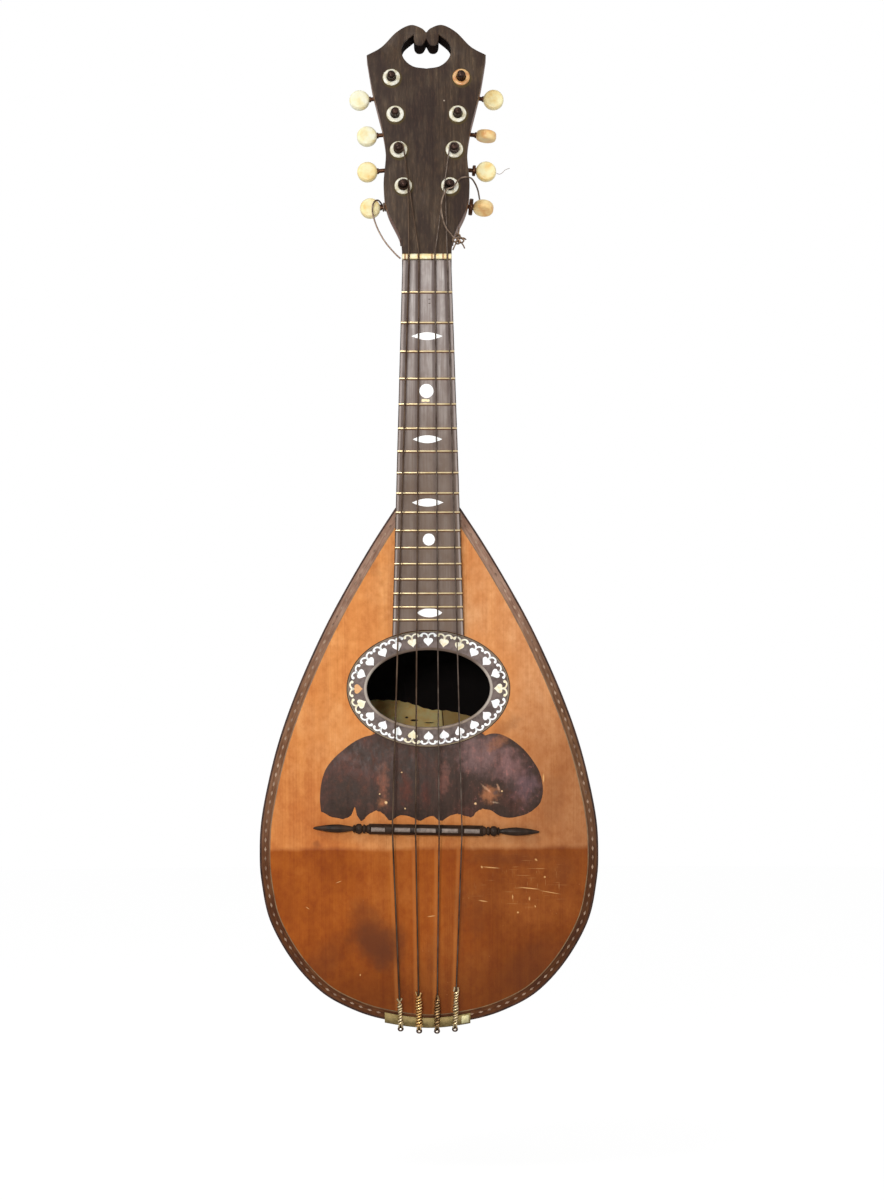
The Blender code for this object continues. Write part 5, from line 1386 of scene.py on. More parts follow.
HEAD_SIDE = [(14.05, 0.0), (15.8, 11.8), (22.6, 27.0), (24.8, 41.0), (23.5, 60.0), (25.1, 74.4),
             (28.3, 88.0), (31.7, 102.7), (34.6, 120.5)]
HEAD_TOP = [(34.6, 120.5), (25.9, 125.6), (17.4, 134.6), (9.3, 139.0), (2.9, 137.2), (0.0, 134.5)]
CUTOUT_LOW = [(0.0, 112.3), (7.4, 113.6), (12.4, 117.6), (14.3, 122.8), (13.0, 128.0), (7.3, 133.2)]
CUTOUT_LOBE = [(7.0, 129.0), (5.6, 126.9), (3.6, 126.5), (1.7, 127.4), (0.0, 130.6)]
# Behind and in front of everything that a hole goes through
THROUGH = (5.0, -25.0)


def head_outline(foot):
    side = [p for p in catmull(HEAD_SIDE, 8) if p[1] > foot + 0.5]
    xs, ups = zip(*HEAD_SIDE)
    half = [(float(np.interp(foot, ups, xs)), foot)] + side[:-1] + catmull(HEAD_TOP, 8)
    half[-1] = (0.0, half[-1][1])
    return half + [(-x, y) for x, y in reversed(half[:-1])]


def cutout_outline():
    half = catmull(CUTOUT_LOW, 7)[:-1] + catmull(CUTOUT_LOW[-1:] + CUTOUT_LOBE, 5)
    half[0] = (0.0, half[0][1])
    half[-1] = (0.0, half[-1][1])
    return half + [(-x, y) for x, y in reversed(half[1:-1])]


def post_places():
    """Each post: name of its side, side as a sign, row from the top, x, height on the head."""
    for side_name, side in (("left", -1.0), ("right", 1.0)):
        for row, (x, up) in enumerate(POST_PLACES):
            yield side_name, side, row, side * x, up


def post_holes(radius, front, back):
    return [plate([ellipse(radius, radius, 28, (x, up))], front, back, place=HEAD_FRAME)
            for *_, x, up in post_places()]


def neck_arc(half, depth, power, count=24):
    """Half an oval, from one side of the neck round its back to the other, squarer with a higher power."""
    arc = []
    for i in range(count + 1):
        angle = math.pi * i / count
        cosine, sine = math.cos(angle), max(math.sin(angle), 0.0)
        across = math.copysign(abs(cosine) ** (2.0 / power), cosine)
        arc.append((across * half, sine ** (2.0 / power) * depth))
    return arc


# The neck's sections: z, half width, depth, how square. Then the head's: height, half, inset, how square
NECK_SECTIONS = [
    (BODY_JOINT_Z + 0.3, 18.2, 32.6, 2.2), (-137.0, 18.1, 29.0, 2.2), (-130.0, 18.0, 23.8, 2.2),
    (-122.0, 17.8, 19.8, 2.25), (-112.0, 17.5, 17.6, 2.3), (-90.0, 16.8, 16.6, 2.3), (-50.0, 15.6, 15.5, 2.3),
    (-16.0, 14.55, 14.8, 2.3), (-5.0, 14.2, 14.9, 2.6),
]
NECK_FOOT = 9.0
HEAD_SECTIONS = [(4.0, 14.3, 0.0, 5.0), (NECK_FOOT + 3.0, 15.2, 0.25, 9.0)]
CORE_FRONT = VENEER + 0.3


def make_neck():
    sections = []
    for z, half, depth, power in catmull(NECK_SECTIONS, 5):
        sections.append([(x, y, z) for x, y in neck_arc(half, depth, power)])
    for up, half, inset, power in HEAD_SECTIONS:
        arc = neck_arc(half, HEAD_THICKNESS - CORE_FRONT - 2 * inset, power)
        sections.append([head_point(x, up, -CORE_FRONT - inset - deep) for x, deep in arc])
    head = plate([head_outline(NECK_FOOT)], -VENEER, -HEAD_THICKNESS, 1.0, HEAD_FRAME, 3)
    neck = carved(loft(sections), [head], "UNION")
    neck = carved(neck, [plate([cutout_outline()], *THROUGH, place=HEAD_FRAME)])
    neck = carved(neck, post_holes(POST_RADIUS + 0.3, *THROUGH))
    piece("neck_and_head", neck, "neck_wood", ["neck"])


COLLAR_PROFILE = [(2.75, -1.0), (2.75, 0.35), (2.95, 0.6), (3.4, 0.72), (4.2, 0.66), (4.7, 0.45), (5.0, 0.12),
                  (5.05, -1.0)]
AMBER_COLLAR = ("right", 0)


def make_head_veneer():
    veneer = plate([head_outline(0.0), cutout_outline()], 0.0, -VENEER, 0.35, HEAD_FRAME)
    veneer = carved(veneer, post_holes(4.9, 5.0, -8.0))
    piece("head_face", veneer, "head", ["head_veneer"])
    for side_name, _, row, x, up in post_places():
        collar = turned(COLLAR_PROFILE, 40, HEAD_FRAME @ move(x, up, 0.0), ring=True)
        finish = "amber_collar" if (side_name, row) == AMBER_COLLAR else "collar"
        piece(f"collar_{side_name}_{row + 1}", collar, finish)


# Fingerboard and nut

# Pearl markers: x and z of the middle, half length across, half height, kind
MARKERS = [(0.0, -43.8, 9.0, 2.2, "point"), (-0.5, -75.2, 4.05, 4.05, "dot"),
           (0.0, -102.9, 8.5, 2.25, "point"), (0.0, -139.2, 9.1, 2.3, "point"),
           (0.6, -160.4, 3.45, 3.45, "dot"), (0.9, -202.4, 7.2, 2.6, "oval")]
MARKER_POWERS = {"point": 1.08, "oval": 0.8}
# Section of a fret: along the neck, depth from the board's face. Its ends: in from the edge, share of height
FRET_PROFILE = [(-0.5, 0.3), (-0.5, 0.0), (-0.47, -0.45), (-0.3, -0.78), (0.0, -0.9), (0.3, -0.78),
                (0.47, -0.45), (0.5, 0.0), (0.5, 0.3)]
FRET_ENDS = [(0.02, 0.35), (0.25, 0.85), (0.6, 1.0)]
REPAIR = [(-3.2, -80.0), (-1.6, -79.8), (0.3, -80.1), (1.2, -79.9), (1.3, -81.2), (0.2, -81.6), (-1.0, -81.2),
          (-2.4, -81.5), (-3.3, -81.1)]


def marker_outline(x, z, half_x, half_z, kind):
    if kind == "dot":
        return ellipse(half_x, half_z, 32, (x, z))
    upper = []
    for t in np.linspace(-1.0, 1.0, 17):
        upper.append((half_x * t, half_z * (1.0 - abs(t) ** 2) ** MARKER_POWERS[kind]))
    return [(x + px, z + pz) for px, pz in upper + [(px, -pz) for px, pz in reversed(upper[1:-1])]]


def make_frets():
    """Brass bars, lower at their ends, and a painted shadow strip below each."""
    frets, shadow_strips = [], []
    for number in range(1, FRET_COUNT + 1):
        z = -SCALE_LENGTH * (1.0 - 2.0 ** (-number / 12.0))
        half = board_half(z)
        ends = [(inset - half, size) for inset, size in FRET_ENDS]
        ends += [(half - inset, size) for inset, size in reversed(FRET_ENDS)]
        frets.append(loft([[(x, -FINGERBOARD_FRONT + deep * (size if deep < 0 else 1.0), z + across)
                            for across, deep in FRET_PROFILE] for x, size in ends]))
        # A dark strip just below the fret, a painted shadow
        low = z - 0.48
        half = board_half(low) - 0.5
        shadow_strips.append(box((-half, -FINGERBOARD_FRONT - 0.05, low - 0.5),
                         (half, -FINGERBOARD_FRONT + 0.1, low)))
    piece("fret_wires", joined(frets), "fret_brass")
    piece("fret_shadow", joined(shadow_strips), "fret_shadow")


def make_fingerboard():
    """The board with its hollowed end, the frets, a small repair and the pearl markers."""
    front, chamfer = -FINGERBOARD_FRONT, 0.35
    sections = []
    for z in np.linspace(-0.2, HOLE_Z + ROSETTE[1] * 0.8, 24):
        half = board_half(z)
        sections.append([(-half, -0.1, z), (half, -0.1, z), (half, front + chamfer, z),
                         (half - chamfer, front, z), (chamfer - half, front, z), (-half, front + chamfer, z)])
    hollow = plate([ellipse(ROSETTE[0] + 0.15, ROSETTE[1] + 0.15, 160, (0.0, HOLE_Z))], 20.0, -9.0)
    piece("neck_board", carved(loft(sections), [hollow]), "board", ["fingerboard"], sharp=25.0)
    make_frets()
    patch = plate([REPAIR], FINGERBOARD_FRONT + 0.05, FINGERBOARD_FRONT - 0.3)
    piece("board_repair", patch, "bone")
    inlays = [plate([marker_outline(*marker)], FINGERBOARD_FRONT + 0.03, FINGERBOARD_FRONT - 0.4)
              for marker in MARKERS]
    piece("board_markers", joined(inlays), "pearl")


NUT_SLOTS = (-12.4, -10.6, -4.8, 3.0, 4.7, 9.4, 12.0)
# Section of the nut: z, y
NUT_PROFILE = [(0.3, -0.1), (0.3, -5.4), (0.5, -6.2), (1.0, -NUT_FRONT), (2.0, -6.55), (3.0, -6.0),
               (3.5, -5.0), (3.5, -0.1)]


def make_nut():
    half = BOARD_WIDTHS[0] / 2 + 0.1
    sections = [[(x, y, z) for z, y in NUT_PROFILE] for x in (-half, -half + 0.3, half - 0.3, half)]
    slots = [box((x - 0.3, -8.0, -2.0), (x + 0.3, -6.0, 7.0)) for x in NUT_SLOTS]
    piece("string_nut", carved(rounded(loft(sections), 0.2, 1), slots), "nut", ["nut"])


# Tuning machines

POST_TOP = 6.6
# Post: radius and distance below its top, then radius and height on the head's face
POST_PROFILE = [(r, POST_TOP - below) for r, below in
                ((0.0, 0.0), (0.9, 0.06), (1.6, 0.35), (2.1, 0.8), (2.3, 1.3), (2.2, 1.7), (1.95, 2.1))]
POST_PROFILE += [(1.95, 3.2), (2.2, 2.2), (2.45, 1.6), (2.5, 0.8), (2.5, -20.2), (2.1, -21.1), (0.0, -21.1)]
POST_EYE = ([(0.0, 3.2), (0.42, 3.2), (0.42, -3.2), (0.0, -3.2)], 3.7)
GEAR_SCREW = [(0.0, -21.9), (1.5, -21.8), (1.9, -21.3), (1.9, -20.6), (0.0, -20.6)]
GEAR_FLANKS = ((GEAR_ROOT_RADIUS, 0.36), (GEAR_PITCH_RADIUS, 0.2), (GEAR_TIP_RADIUS - 0.05, 0.09))
BUTTON_PROFILE = [(0.0, 2.55), (2.2, 2.6), (4.2, 2.66), (4.9, 2.58), (5.4, 2.28), (5.75, 1.75), (5.92, 1.0),
                  (BUTTON_RADIUS, 0.0)]
BUTTON_TONES = {"left": ("pale", "pale", "warm", "warm"), "right": ("warm", "honey", "warm", "honey")}
# Metal cups between shaft and button: radius, thickness
KEY_CUPS = {("right", 2): (3.2, 1.9), ("right", 3): (4.9, 2.3)}


def gear():
    """A wheel whose teeth lean as much as the worm's crest."""
    step = 2 * math.pi / GEAR_TEETH
    lead = WORM_PITCH / (2 * math.pi * 1.5)
    twist = GEAR_THICKNESS * lead / GEAR_PITCH_RADIUS
    corners = [(r, -half) for r, half in GEAR_FLANKS] + list(reversed(GEAR_FLANKS))
    sections = []
    for share in (-0.5, -0.25, 0.0, 0.25, 0.5):
        angles = [(r, (tooth + 0.5) * step + share * twist + offset * step)
                  for tooth in range(GEAR_TEETH) for r, offset in corners]
        height = -GEAR_DEPTH + share * GEAR_THICKNESS
        sections.append([(r * math.cos(angle), r * math.sin(angle), height) for r, angle in angles])
    return loft(sections)


WORM_SIDES = 24
WORM_STEPS = 84
WORM_HALF = 5.2
WORM_CORE = 1.06
WORM_CREST = 0.8


def worm_shaft(reach):
    """A shaft with a cut worm, about local Z. The crest points towards local X at the middle."""
    turns = [2 * math.pi * k / WORM_SIDES for k in range(WORM_SIDES)]
    sections = []

    def ring(height, radii):
        sections.append([(r * math.cos(a), r * math.sin(a), height) for r, a in zip(radii, turns)])

    for height, radius in ((-7.6, 1.0), (-7.5, 1.2), (-WORM_HALF - 0.55, SHAFT_RADIUS)):
        ring(height, [radius] * WORM_SIDES)
    for i in range(WORM_STEPS + 1):
        height = -WORM_HALF + 2 * WORM_HALF * i / WORM_STEPS
        fade = min(smoothstep((height + WORM_HALF) / 0.8), smoothstep((WORM_HALF - height) / 0.8))
        radii = []
        for angle in turns:
            wave = 0.5 + 0.5 * math.cos(angle - 2 * math.pi * height / WORM_PITCH)
            radius = WORM_CORE + WORM_CREST * min(max((wave - 0.25) / 0.5, 0.0), 1.0)
            radii.append(SHAFT_RADIUS + (radius - SHAFT_RADIUS) * fade)
        ring(height, radii)
    for height, radius in ((WORM_HALF + 0.5, SHAFT_RADIUS), (reach - 1.2, SHAFT_RADIUS), (reach - 1.1, 1.75),
                           (reach - 0.2, 1.75), (reach, 1.5)):
        ring(height, [radius] * WORM_SIDES)
    return loft(sections)


def key_frame(side, x, up):
    """The shaft's own frame: Z outwards along it, X towards the gear, at the middle of the worm."""
    out = Vector((side * math.cos(KEY_SLANT), -math.sin(KEY_SLANT), 0.0))
    to_gear = Vector((side * math.sin(KEY_SLANT), math.cos(KEY_SLANT), 0.0))
    axes = Matrix((to_gear, out.cross(to_gear), out)).transposed().to_4x4()
    return move(*(Vector((x, up, -GEAR_DEPTH)) - to_gear * WORM_DISTANCE)) @ axes


def make_post(tag, seat):
    """A string post with its eye, and below it the gear wheel and the slotted screw that holds it."""
    profile, height = POST_EYE
    eye = turned(profile, 12, move(0.0, 0.0, height) @ turn(90.0, "X"))
    screw = carved(turned(GEAR_SCREW, 20), [box((-2.5, -0.25, -22.5), (2.5, 0.25, -21.5))])
    body = f"post_{tag}"
    post = carved(turned(POST_PROFILE, 28), [eye])
    for name, mesh, finish, slot, nodes in ((body, post, "post", "dark_brass", [f"string_post_{tag}"]),
                                            (f"gear_{tag}", gear(), "brass", "brass", []),
                                            (f"gear_screw_{tag}", screw, "dark_brass", "dark_brass", [])):
        mesh.transform(seat)
        piece(name, mesh, finish, nodes, body)


def make_key(tag, place, side_name, row):
    """A worm shaft with its button, and a metal cup between them where there is one."""
    body, reach = f"key_{tag}", KEY_REACH[row]
    shaft = worm_shaft(reach - BUTTON_RADIUS + 0.4)
    shaft.transform(place)
    piece(f"worm_{tag}", shaft, "dark_brass", [f"worm_shaft_{tag}"], body)
    if (side_name, row) in KEY_CUPS:
        radius, thick = KEY_CUPS[side_name, row]
        inner = reach - BUTTON_RADIUS - thick - 0.15
        outer = inner + thick
        cup = turned([(1.3, inner), (radius - 0.4, inner), (radius, inner + 0.4), (radius, outer - 0.3),
                      (radius - 0.3, outer), (1.3, outer)], 24, place)
        piece(f"key_cup_{tag}", cup, "dark_brass", body=body)
    flat = move(0.0, 0.0, reach) @ turn(KEY_TURN[side_name][row], "Z") @ turn(90.0, "X")
    knob = turned(BUTTON_PROFILE + [(r, -h) for r, h in reversed(BUTTON_PROFILE[:-1])], 40, place @ flat)
    finish = f"{BUTTON_TONES[side_name][row]}_button"
    piece(f"key_button_{tag}", knob, finish, [f"button_{tag}"], body)


def make_posts_and_keys():
    for side_name, side, row, x, up in post_places():
        tag = f"{side_name}_{row + 1}"
        place = HEAD_FRAME @ key_frame(side, x, up)
        down = HEAD_FRAME.to_3x3().inverted() @ place.to_3x3() @ Vector((-1.0, 0.0, 0.0))
        seat = HEAD_FRAME @ move(x, up, 0.0) @ Matrix.Rotation(math.atan2(down.y, down.x), 4, "Z")
        make_post(tag, seat)
        make_key(tag, place, side_name, row)


PLATE_FRONT = -HEAD_THICKNESS
PLATE_BACK = PLATE_FRONT - 1.5
PLATE_MARGIN = 5.5
PLATE_BELOW = 13.0
PLATE_ABOVE = 7.5
PLATE_CORNER = 4.0
LUG_PLACES = (-5.6, 5.0)
LUG_HALF = 0.7
LUG_SIDES = (-2.3, 2.0)
LUG_ROUND = 2.2
PLATE_SCREW = [(0.0, 0.3), (1.7, 0.3), (1.7, -0.15), (1.3, -0.6), (0.6, -0.8), (0.0, -0.82)]


def capsule_outline(foot, crown, across):
    """A strip with rounded ends, as an outline."""
    corners = [foot - across, foot + across, crown + across, crown - across]
    outline = []
    for i, corner in enumerate(corners):
        before = (corners[i - 1] - corner).normalized() * PLATE_CORNER
        after = (corners[(i + 1) % 4] - corner).normalized() * PLATE_CORNER
        for k in range(7):
            angle = math.radians(90.0 * k / 6)
            outline.append(tuple(corner + before * (1.0 - math.sin(angle)) + after * (1.0 - math.cos(angle))))
    return outline


def lug_outline(upside_down):
    """A lug from the plate's face to its round end behind the shaft, across the shaft."""
    low, high = LUG_SIDES
    rise = GEAR_DEPTH + PLATE_BACK
    middle, wide = (low + high) / 2, (high - low) / 2
    outline = [(low, rise + 0.3), (low, 0.0)]
    for k in range(1, 12):
        angle = math.pi - math.pi * k / 12
        outline.append((middle + wide * math.cos(angle), -LUG_ROUND * math.sin(angle)))
    outline += [(high, 0.0), (high, rise + 0.3)]
    return [(x, -y) for x, y in outline] if upside_down else outline


def make_tuner_plate(side_name, side):
    """A back plate with lugs that hold the key shafts, and its screws."""
    rows = [Vector((side * x, up)) for x, up in POST_PLACES]
    along = (rows[0] - rows[-1]).normalized()
    across = Vector((along.y, -along.x)) * PLATE_MARGIN
    foot, crown = rows[-1] - along * PLATE_BELOW, rows[0] + along * PLATE_ABOVE
    loops = [capsule_outline(foot, crown, across)] + [ellipse(2.7, 2.7, 28, place) for place in rows]
    parts = [plate(loops, PLATE_FRONT, PLATE_BACK, 0.25, HEAD_FRAME)]
    for x, up in rows:
        shaft = key_frame(side, x, up)
        outline = lug_outline((shaft.to_3x3() @ Vector((0.0, 1.0, 0.0))).z < 0)
        for place in LUG_PLACES:
            loops = [outline, ellipse(1.45, 1.45, 20)]
            parts.append(plate(loops, place + LUG_HALF, place - LUG_HALF, 0.15, HEAD_FRAME @ shaft))
    piece(f"tuner_base_{side_name}", joined(parts), "brass", [f"tuner_plate_{side_name}"])
    spots = [foot + along * 4.5, crown - along * 3.2]
    spots += [(a + b) / 2 - across * 0.45 for a, b in zip(rows, rows[1:])]
    screws = []
    for number, spot in enumerate(spots):
        slot = box((-2.5, -0.22, -1.5), (2.5, 0.22, -0.45))
        slot.transform(Matrix.Rotation(0.7 * number + side, 4, "Z"))
        head = carved(turned(PLATE_SCREW, 20), [slot])
        head.transform(HEAD_FRAME @ move(spot.x, spot.y, PLATE_BACK))
        screws.append(head)
    piece(f"tuner_screws_{side_name}", joined(screws), "dark_brass")


# Strings and broken wire ends

STRING_GAP = 0.3
BRIDGE_TOP = -BRIDGE_FOOT - BRIDGE_BAR[2]
WOUND_STRINGS = 2
# Shares of a string's way that it has points at: to the bridge, and on from there to the nut
TO_BRIDGE = (0.0, 0.1, 0.3, 0.6, 0.9, 0.99)
TO_NUT = (0.01, 0.1, 0.4, 0.7, 0.95)
POST_WAIST = 1.95
# Winding by the post's row: height of the first turn on the head, number of turns
WINDINGS = {2: (5.3, 4.2), 3: (3.9, 3.1)}
WINDING_STEPS = 24

# The twisted end of each string: length, spread of its free ends, half width and finish
LOOP_TWISTS = [(12.6, 3.0, 0.95, "pale_loop_wire"), (17.6, 1.4, 1.5, "loop_wire"),
               (16.0, 1.0, 1.35, "dark_loop_wire"), (19.6, 0.6, 1.2, "pale_loop_wire")]
TWIST_PITCH = 3.3
TWIST_STEPS = 14
TWIST_RADIUS = 0.58
# The free ends: how far on, and which share of the spread
TWIST_ENDS = ((1.2, 0.6), (2.6, 1.1))
# A leg of the loop: out from its middle, y from the string, z from the edge
LOOP_LEG = [(0.5, -0.2, 1.4), (0.75, -0.1, 0.2), (0.95, 1.0, -0.9), (1.15, 3.4, -1.0)]
LOOP_HALF = 1.25
LOOP_RADIUS = 0.42


def string_points(tail_x, bridge_x, nut_x, radius, post):
    """The way of a string from above its loop over the bridge and the nut and round its post."""
    lift = STRING_GAP + radius
    edge = tail_rim(tail_x, TAIL_FACE)
    start = Vector((tail_x, bend(edge) + TAIL_FRONT - lift, edge + 1.0))
    tilt = math.tan(BRIDGE_TILT) * (bridge_x - BRIDGE_X)
    saddle = Vector((bridge_x, BRIDGE_TOP - lift + 0.15, BRIDGE_Z - tilt))
    nut_y = -NUT_FRONT - lift + 0.45
    top = Vector((nut_x, nut_y, 0.6))
    points = [start.lerp(saddle, share) for share in TO_BRIDGE] + [saddle]
    points += [saddle.lerp(top, share) for share in TO_NUT]
    points += [top, (nut_x, nut_y + 0.05, 2.2), (nut_x, nut_y + 0.35, 3.4)]
    side_name, row = post
    side = -1.0 if side_name == "left" else 1.0
    x, up = POST_PLACES[row]
    front, turns = WINDINGS[row]
    first = math.pi if side > 0 else 0.0
    for i in range(int(turns * WINDING_STEPS) + 1):
        share = i / WINDING_STEPS
        angle = first - side * share * 2 * math.pi
        wide = POST_WAIST + radius + 0.1 + 0.25 * smoothstep(1.0 - share * 3)
        points.append(head_point(side * x + wide * math.cos(angle), up + wide * math.sin(angle),
                                 front - (2 * radius + 0.12) * share))
    return points


def make_strings():
    """Each string, and the loop at its tail end, whose free end is twisted back round it."""
    for number, (tail_x, bridge_x, nut_x, radius, post) in enumerate(STRINGS, 1):
        wire = tube(string_points(tail_x, bridge_x, nut_x, radius, post), radius, 10)
        finish = "wound_wire" if number <= WOUND_STRINGS else "plain_wire"
        piece(f"string_wire_{number}", wire, finish, [f"string_{number}"])
        make_loop(number, tail_x, bridge_x, radius)


def make_loop(number, tail_x, bridge_x, radius):
    """The looped end: it goes over the edge, round the pin and back, and is twisted on itself."""
    length, spread, half, finish = LOOP_TWISTS[number - 1]
    edge = tail_rim(tail_x, TAIL_FACE)
    tail_y = bend(edge) + TAIL_FRONT - STRING_GAP - radius
    pin_y = bend(edge) + PIN_DEPTH - 2.7
    legs = []
    for side in (-1.0, 1.0):
        leg = [(tail_x + side * across, tail_y + back, edge + up) for across, back, up in LOOP_LEG]
        legs.append(leg + [(tail_x + side * LOOP_HALF, pin_y, edge - 1.1)])
    under = [(tail_x + LOOP_HALF * math.cos(a), pin_y + 1.2 * math.sin(a), edge - 1.15)
             for a in np.linspace(math.pi, 0.0, 9)[1:-1]]
    wires = [tube(catmull(legs[0] + under + legs[1][::-1], 4), LOOP_RADIUS, 7)]
    start = Vector((tail_x, tail_y, edge + 1.0))
    way = (Vector((bridge_x, BRIDGE_TOP - STRING_GAP - radius, BRIDGE_Z)) - start).normalized()
    right = Vector((1.0, 0.0, 0.0))
    out = way.cross(right).normalized()
    turns = length / TWIST_PITCH
    count = int(turns * TWIST_STEPS)
    for phase, lean in ((0.0, -0.5), (math.pi, 0.5)):
        coil = []
        for i in range(count + 1):
            share = i / count
            angle = phase + 2 * math.pi * turns * share
            reach = half + 0.22 * math.sin(share * 9.0 + number)
            middle = start + way * (length * share)
            coil.append(middle + right * (reach * math.cos(angle)) + out * (reach * math.sin(angle)))
        last = coil[-1]
        coil += [last + way * on + right * (lean * spread * share) for on, share in TWIST_ENDS]
        wires.append(tube(coil, TWIST_RADIUS, 7))
    piece(f"string_loop_{number}", joined(wires), finish)


WIRE_RADIUS = 0.48
# The knot's loops: place in the head's frame, half width, half height, turn. Then its free ends
KNOT_LOOPS = [(16.6, 7.6, 2.0, 1.7, 1.2, 0.4), (19.6, 7.4, 1.2, 1.7, 1.3, 1.2),
              (18.0, 9.4, 1.6, 1.2, 1.4, 2.2), (17.9, 6.2, 2.2, 1.3, 1.0, 0.0)]
KNOT_ENDS = [
    [(17.4, 6.8, 2.0), (16.0, 4.0, 1.8), (14.9, 1.6, 1.4)],
    [(19.4, 6.6, 1.2), (20.8, 4.8, 1.0), (21.8, 2.8, 0.4)],
    [(18.0, 9.6, 1.4), (18.4, 12.4, 1.0), (18.7, 15.4, 0.2)],
    [(18.6, 8.2, 1.6), (21.0, 9.0, 1.0), (22.6, 8.2, 0.2)],
]
HAIR_WIRE = [(40.6, 55.0, -20.5), (42.4, 54.6, -20.5), (44.0, 55.4, -20.4), (45.6, 57.0, -20.2),
             (48.2, 58.0, -20.0)]
LOOSE_RIGHT = [(18.9, 6.2, -0.5), (17.6, 8.4, 0.8), (16.8, 12.0, 1.0), (18.6, 10.8, -0.8), (21.0, 8.6, -0.6),
               (19.0, 8.6, 2.6), (15.8, 8.2, 3.6), (13.4, 10.6, 5.0), (11.2, 13.2, 6.1), (9.4, 18.0, 6.4),
               (8.4, 24.5, 6.6), (8.9, 30.5, 6.7), (11.6, 36.2, 6.7), (15.3, 37.8, 6.7), (17.1, 40.4, 6.7),
               (19.2, 43.2, 5.6), (22.4, 44.6, 4.2), (25.6, 44.6, 2.2), (27.8, 43.2, -2.4),
               (29.6, 40.6, -7.8), (30.6, 36.6, -12.4)]
LOOSE_LEFT = [(-15.3, -2.0, -2.6), (-18.5, 1.5, -3.8), (-24.0, 9.0, -6.0), (-28.3, 17.5, -8.0),
              (-30.9, 26.0, -10.0), (-31.4, 31.5, -11.2), (-30.2, 35.4, -12.0), (-28.0, 36.6, -13.6)]
# The turns of the left end round its key shaft
COIL_TURNS = 14.0 / 9.0
COIL_POINTS = 30
COIL_START = math.radians(27.0)
COIL_PLACE = 12.9
COIL_PITCH = 1.25
COIL_RADIUS = SHAFT_RADIUS + 0.3 + WIRE_RADIUS + 0.25


def head_wire(points, radius=WIRE_RADIUS, sides=8):
    return tube([head_point(*p) for p in points], radius, sides)


def make_loose_wires():
    """A broken end on each side of the head, a knot in the right one and a thin wire at a key."""
    right = head_wire(catmull(LOOSE_RIGHT, 5))
    piece("wire_end_right", right, "broken_wire", ["loose_wire_right"])
    knot = []
    for x, up, front, wide, tall, start in KNOT_LOOPS:
        angles = [2 * math.pi * i / 13 + start for i in range(15)]
        ring = [(x + wide * math.cos(a), up + tall * math.sin(a), front + 0.7 * math.sin(a + 1.0))
                for a in angles]
        knot.append(head_wire(ring, 0.5, 7))
    knot += [head_wire(catmull(ends, 5), 0.42, 7) for ends in KNOT_ENDS]
    piece("wire_knot", joined(knot), "knot")
    hair = head_wire(catmull(HAIR_WIRE, 5), 0.16, 6)
    piece("wire_hair", hair, "broken_wire", body="key_right_3")
    x, up = POST_PLACES[3]
    shaft = key_frame(-1.0, -x, up)
    coil = []
    for i in range(COIL_POINTS):
        turns = COIL_TURNS * i / (COIL_POINTS - 1)
        angle = COIL_START + 2 * math.pi * turns
        place = Vector((COIL_RADIUS * math.cos(angle), COIL_RADIUS * math.sin(angle),
                        COIL_PLACE - COIL_PITCH * turns))
        coil.append(tuple(shaft @ (place * MM) / MM))
    left = head_wire(catmull(LOOSE_LEFT + coil[:1], 5)[:-1] + coil)
    piece("wire_end_left", left, "broken_wire", ["loose_wire_left"])


# Camera, light and floor

LENS = 130.57
CAMERA_PLACE = (0.0080, -2.5, -0.1951)
CAMERA_TURN = (90.0, 0.21, 0.0)
# Strength of the white surroundings: as a light, and where they are seen or mirrored
SURROUNDINGS = (0.44, 1.0)
# Square lamps: name, place in metres, size, power
LAMPS = [("key", (-0.9, -1.5, 1.5), 0.8, 15.0), ("front", (-0.35, -2.3, 0.1), 0.3, 18.0),
         ("fill", (1.3, -1.6, 0.3), 1.2, 3.5)]
LAMP_AIM = Vector((0.0, 0.0, -0.2))
FLOOR_TONE = 0.9
FLOOR_GLOW = 1.13
FLOOR_GLOW_SHARE = 0.8
FLOOR_RADIUS = 3000.0
FLOOR_HEIGHTS = (-532.0, -531.0)


def make_camera():
    data = bpy.data.cameras.new("camera")
    data.lens = LENS
    data.sensor_width = 36.0
    camera = placed_object("camera", data)
    camera.location = CAMERA_PLACE
    camera.rotation_euler = [math.radians(degrees) for degrees in CAMERA_TURN]
    bpy.context.scene.camera = camera


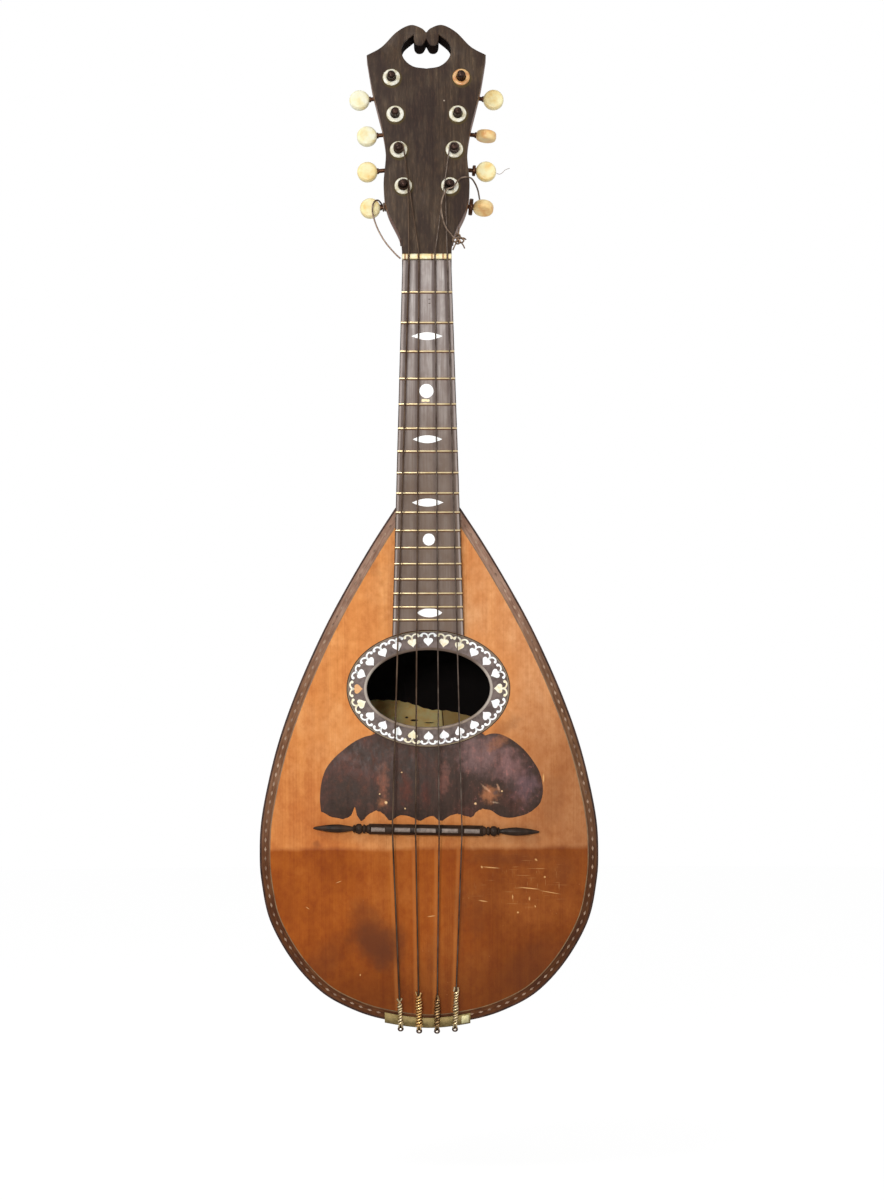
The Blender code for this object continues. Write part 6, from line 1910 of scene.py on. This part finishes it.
def make_light():
    world = bpy.data.worlds.new("world")
    bpy.context.scene.world = world
    world.use_nodes = True
    nodes, links = world.node_tree.nodes, world.node_tree.links
    rays = nodes.new("ShaderNodeLightPath")
    seen = rays.outputs["Is Glossy Ray"]
    for kind in ("Is Transmission Ray", "Is Camera Ray"):
        either = nodes.new("ShaderNodeMath")
        either.operation = "MAXIMUM"
        links.new(seen, either.inputs[0])
        links.new(rays.outputs[kind], either.inputs[1])
        seen = either.outputs[0]
    strength = nodes.new("ShaderNodeMapRange")
    strength.inputs["To Min"].default_value, strength.inputs["To Max"].default_value = SURROUNDINGS
    links.new(seen, strength.inputs["Value"])
    background = nodes["Background"]
    background.inputs["Color"].default_value = (1.0, 1.0, 1.0, 1.0)
    links.new(strength.outputs["Result"], background.inputs["Strength"])
    for name, place, size, energy in LAMPS:
        lamp = bpy.data.lights.new(name, "AREA")
        lamp.shape = "SQUARE"
        lamp.size = size
        lamp.energy = energy
        holder = placed_object(name, lamp)
        holder.location = place
        holder.rotation_euler = (LAMP_AIM - Vector(place)).to_track_quat("-Z", "Y").to_euler()


def make_floor():
    """A wide pale disk, which glows a little where the camera sees it."""
    material = bpy.data.materials.new("floor_finish")
    material.use_nodes = True
    nodes, links = material.node_tree.nodes, material.node_tree.links
    shader = nodes["Principled BSDF"]
    shader.inputs["Base Color"].default_value = (FLOOR_TONE, FLOOR_TONE, FLOOR_TONE, 1.0)
    shader.inputs["Roughness"].default_value = 0.9
    shader.inputs["Specular IOR Level"].default_value = 0.1
    glow = nodes.new("ShaderNodeEmission")
    glow.inputs["Strength"].default_value = FLOOR_GLOW
    rays = nodes.new("ShaderNodeLightPath")
    share = nodes.new("ShaderNodeMath")
    share.operation = "MULTIPLY"
    share.inputs[1].default_value = FLOOR_GLOW_SHARE
    mix = nodes.new("ShaderNodeMixShader")
    surface = nodes["Material Output"].inputs["Surface"]
    for source, target in ((rays.outputs["Is Camera Ray"], share.inputs[0]),
                           (share.outputs[0], mix.inputs[0]), (shader.outputs[0], mix.inputs[1]),
                           (glow.outputs[0], mix.inputs[2]), (mix.outputs[0], surface)):
        links.new(source, target)
    disk = ellipse(FLOOR_RADIUS, FLOOR_RADIUS, 64)
    mesh = loft([[(x, y, z) for x, y in disk] for z in FLOOR_HEIGHTS])
    mesh.materials.append(material)
    placed_object("floor", mesh)


FINISHES = make_finishes()
make_camera()
make_light()
make_floor()
make_bowl()
make_end_clasp()
make_inner_parts()
make_paper()
make_soundboard()
make_rosette()
make_hearts()
make_pickguard()
make_edge_binding()
make_bridge()
make_tailpiece()
make_neck()
make_head_veneer()
make_fingerboard()
make_nut()
make_posts_and_keys()
make_tuner_plate("left", -1.0)
make_tuner_plate("right", 1.0)
make_strings()
make_loose_wires()

bpy.context.scene.view_settings.view_transform = "Standard"
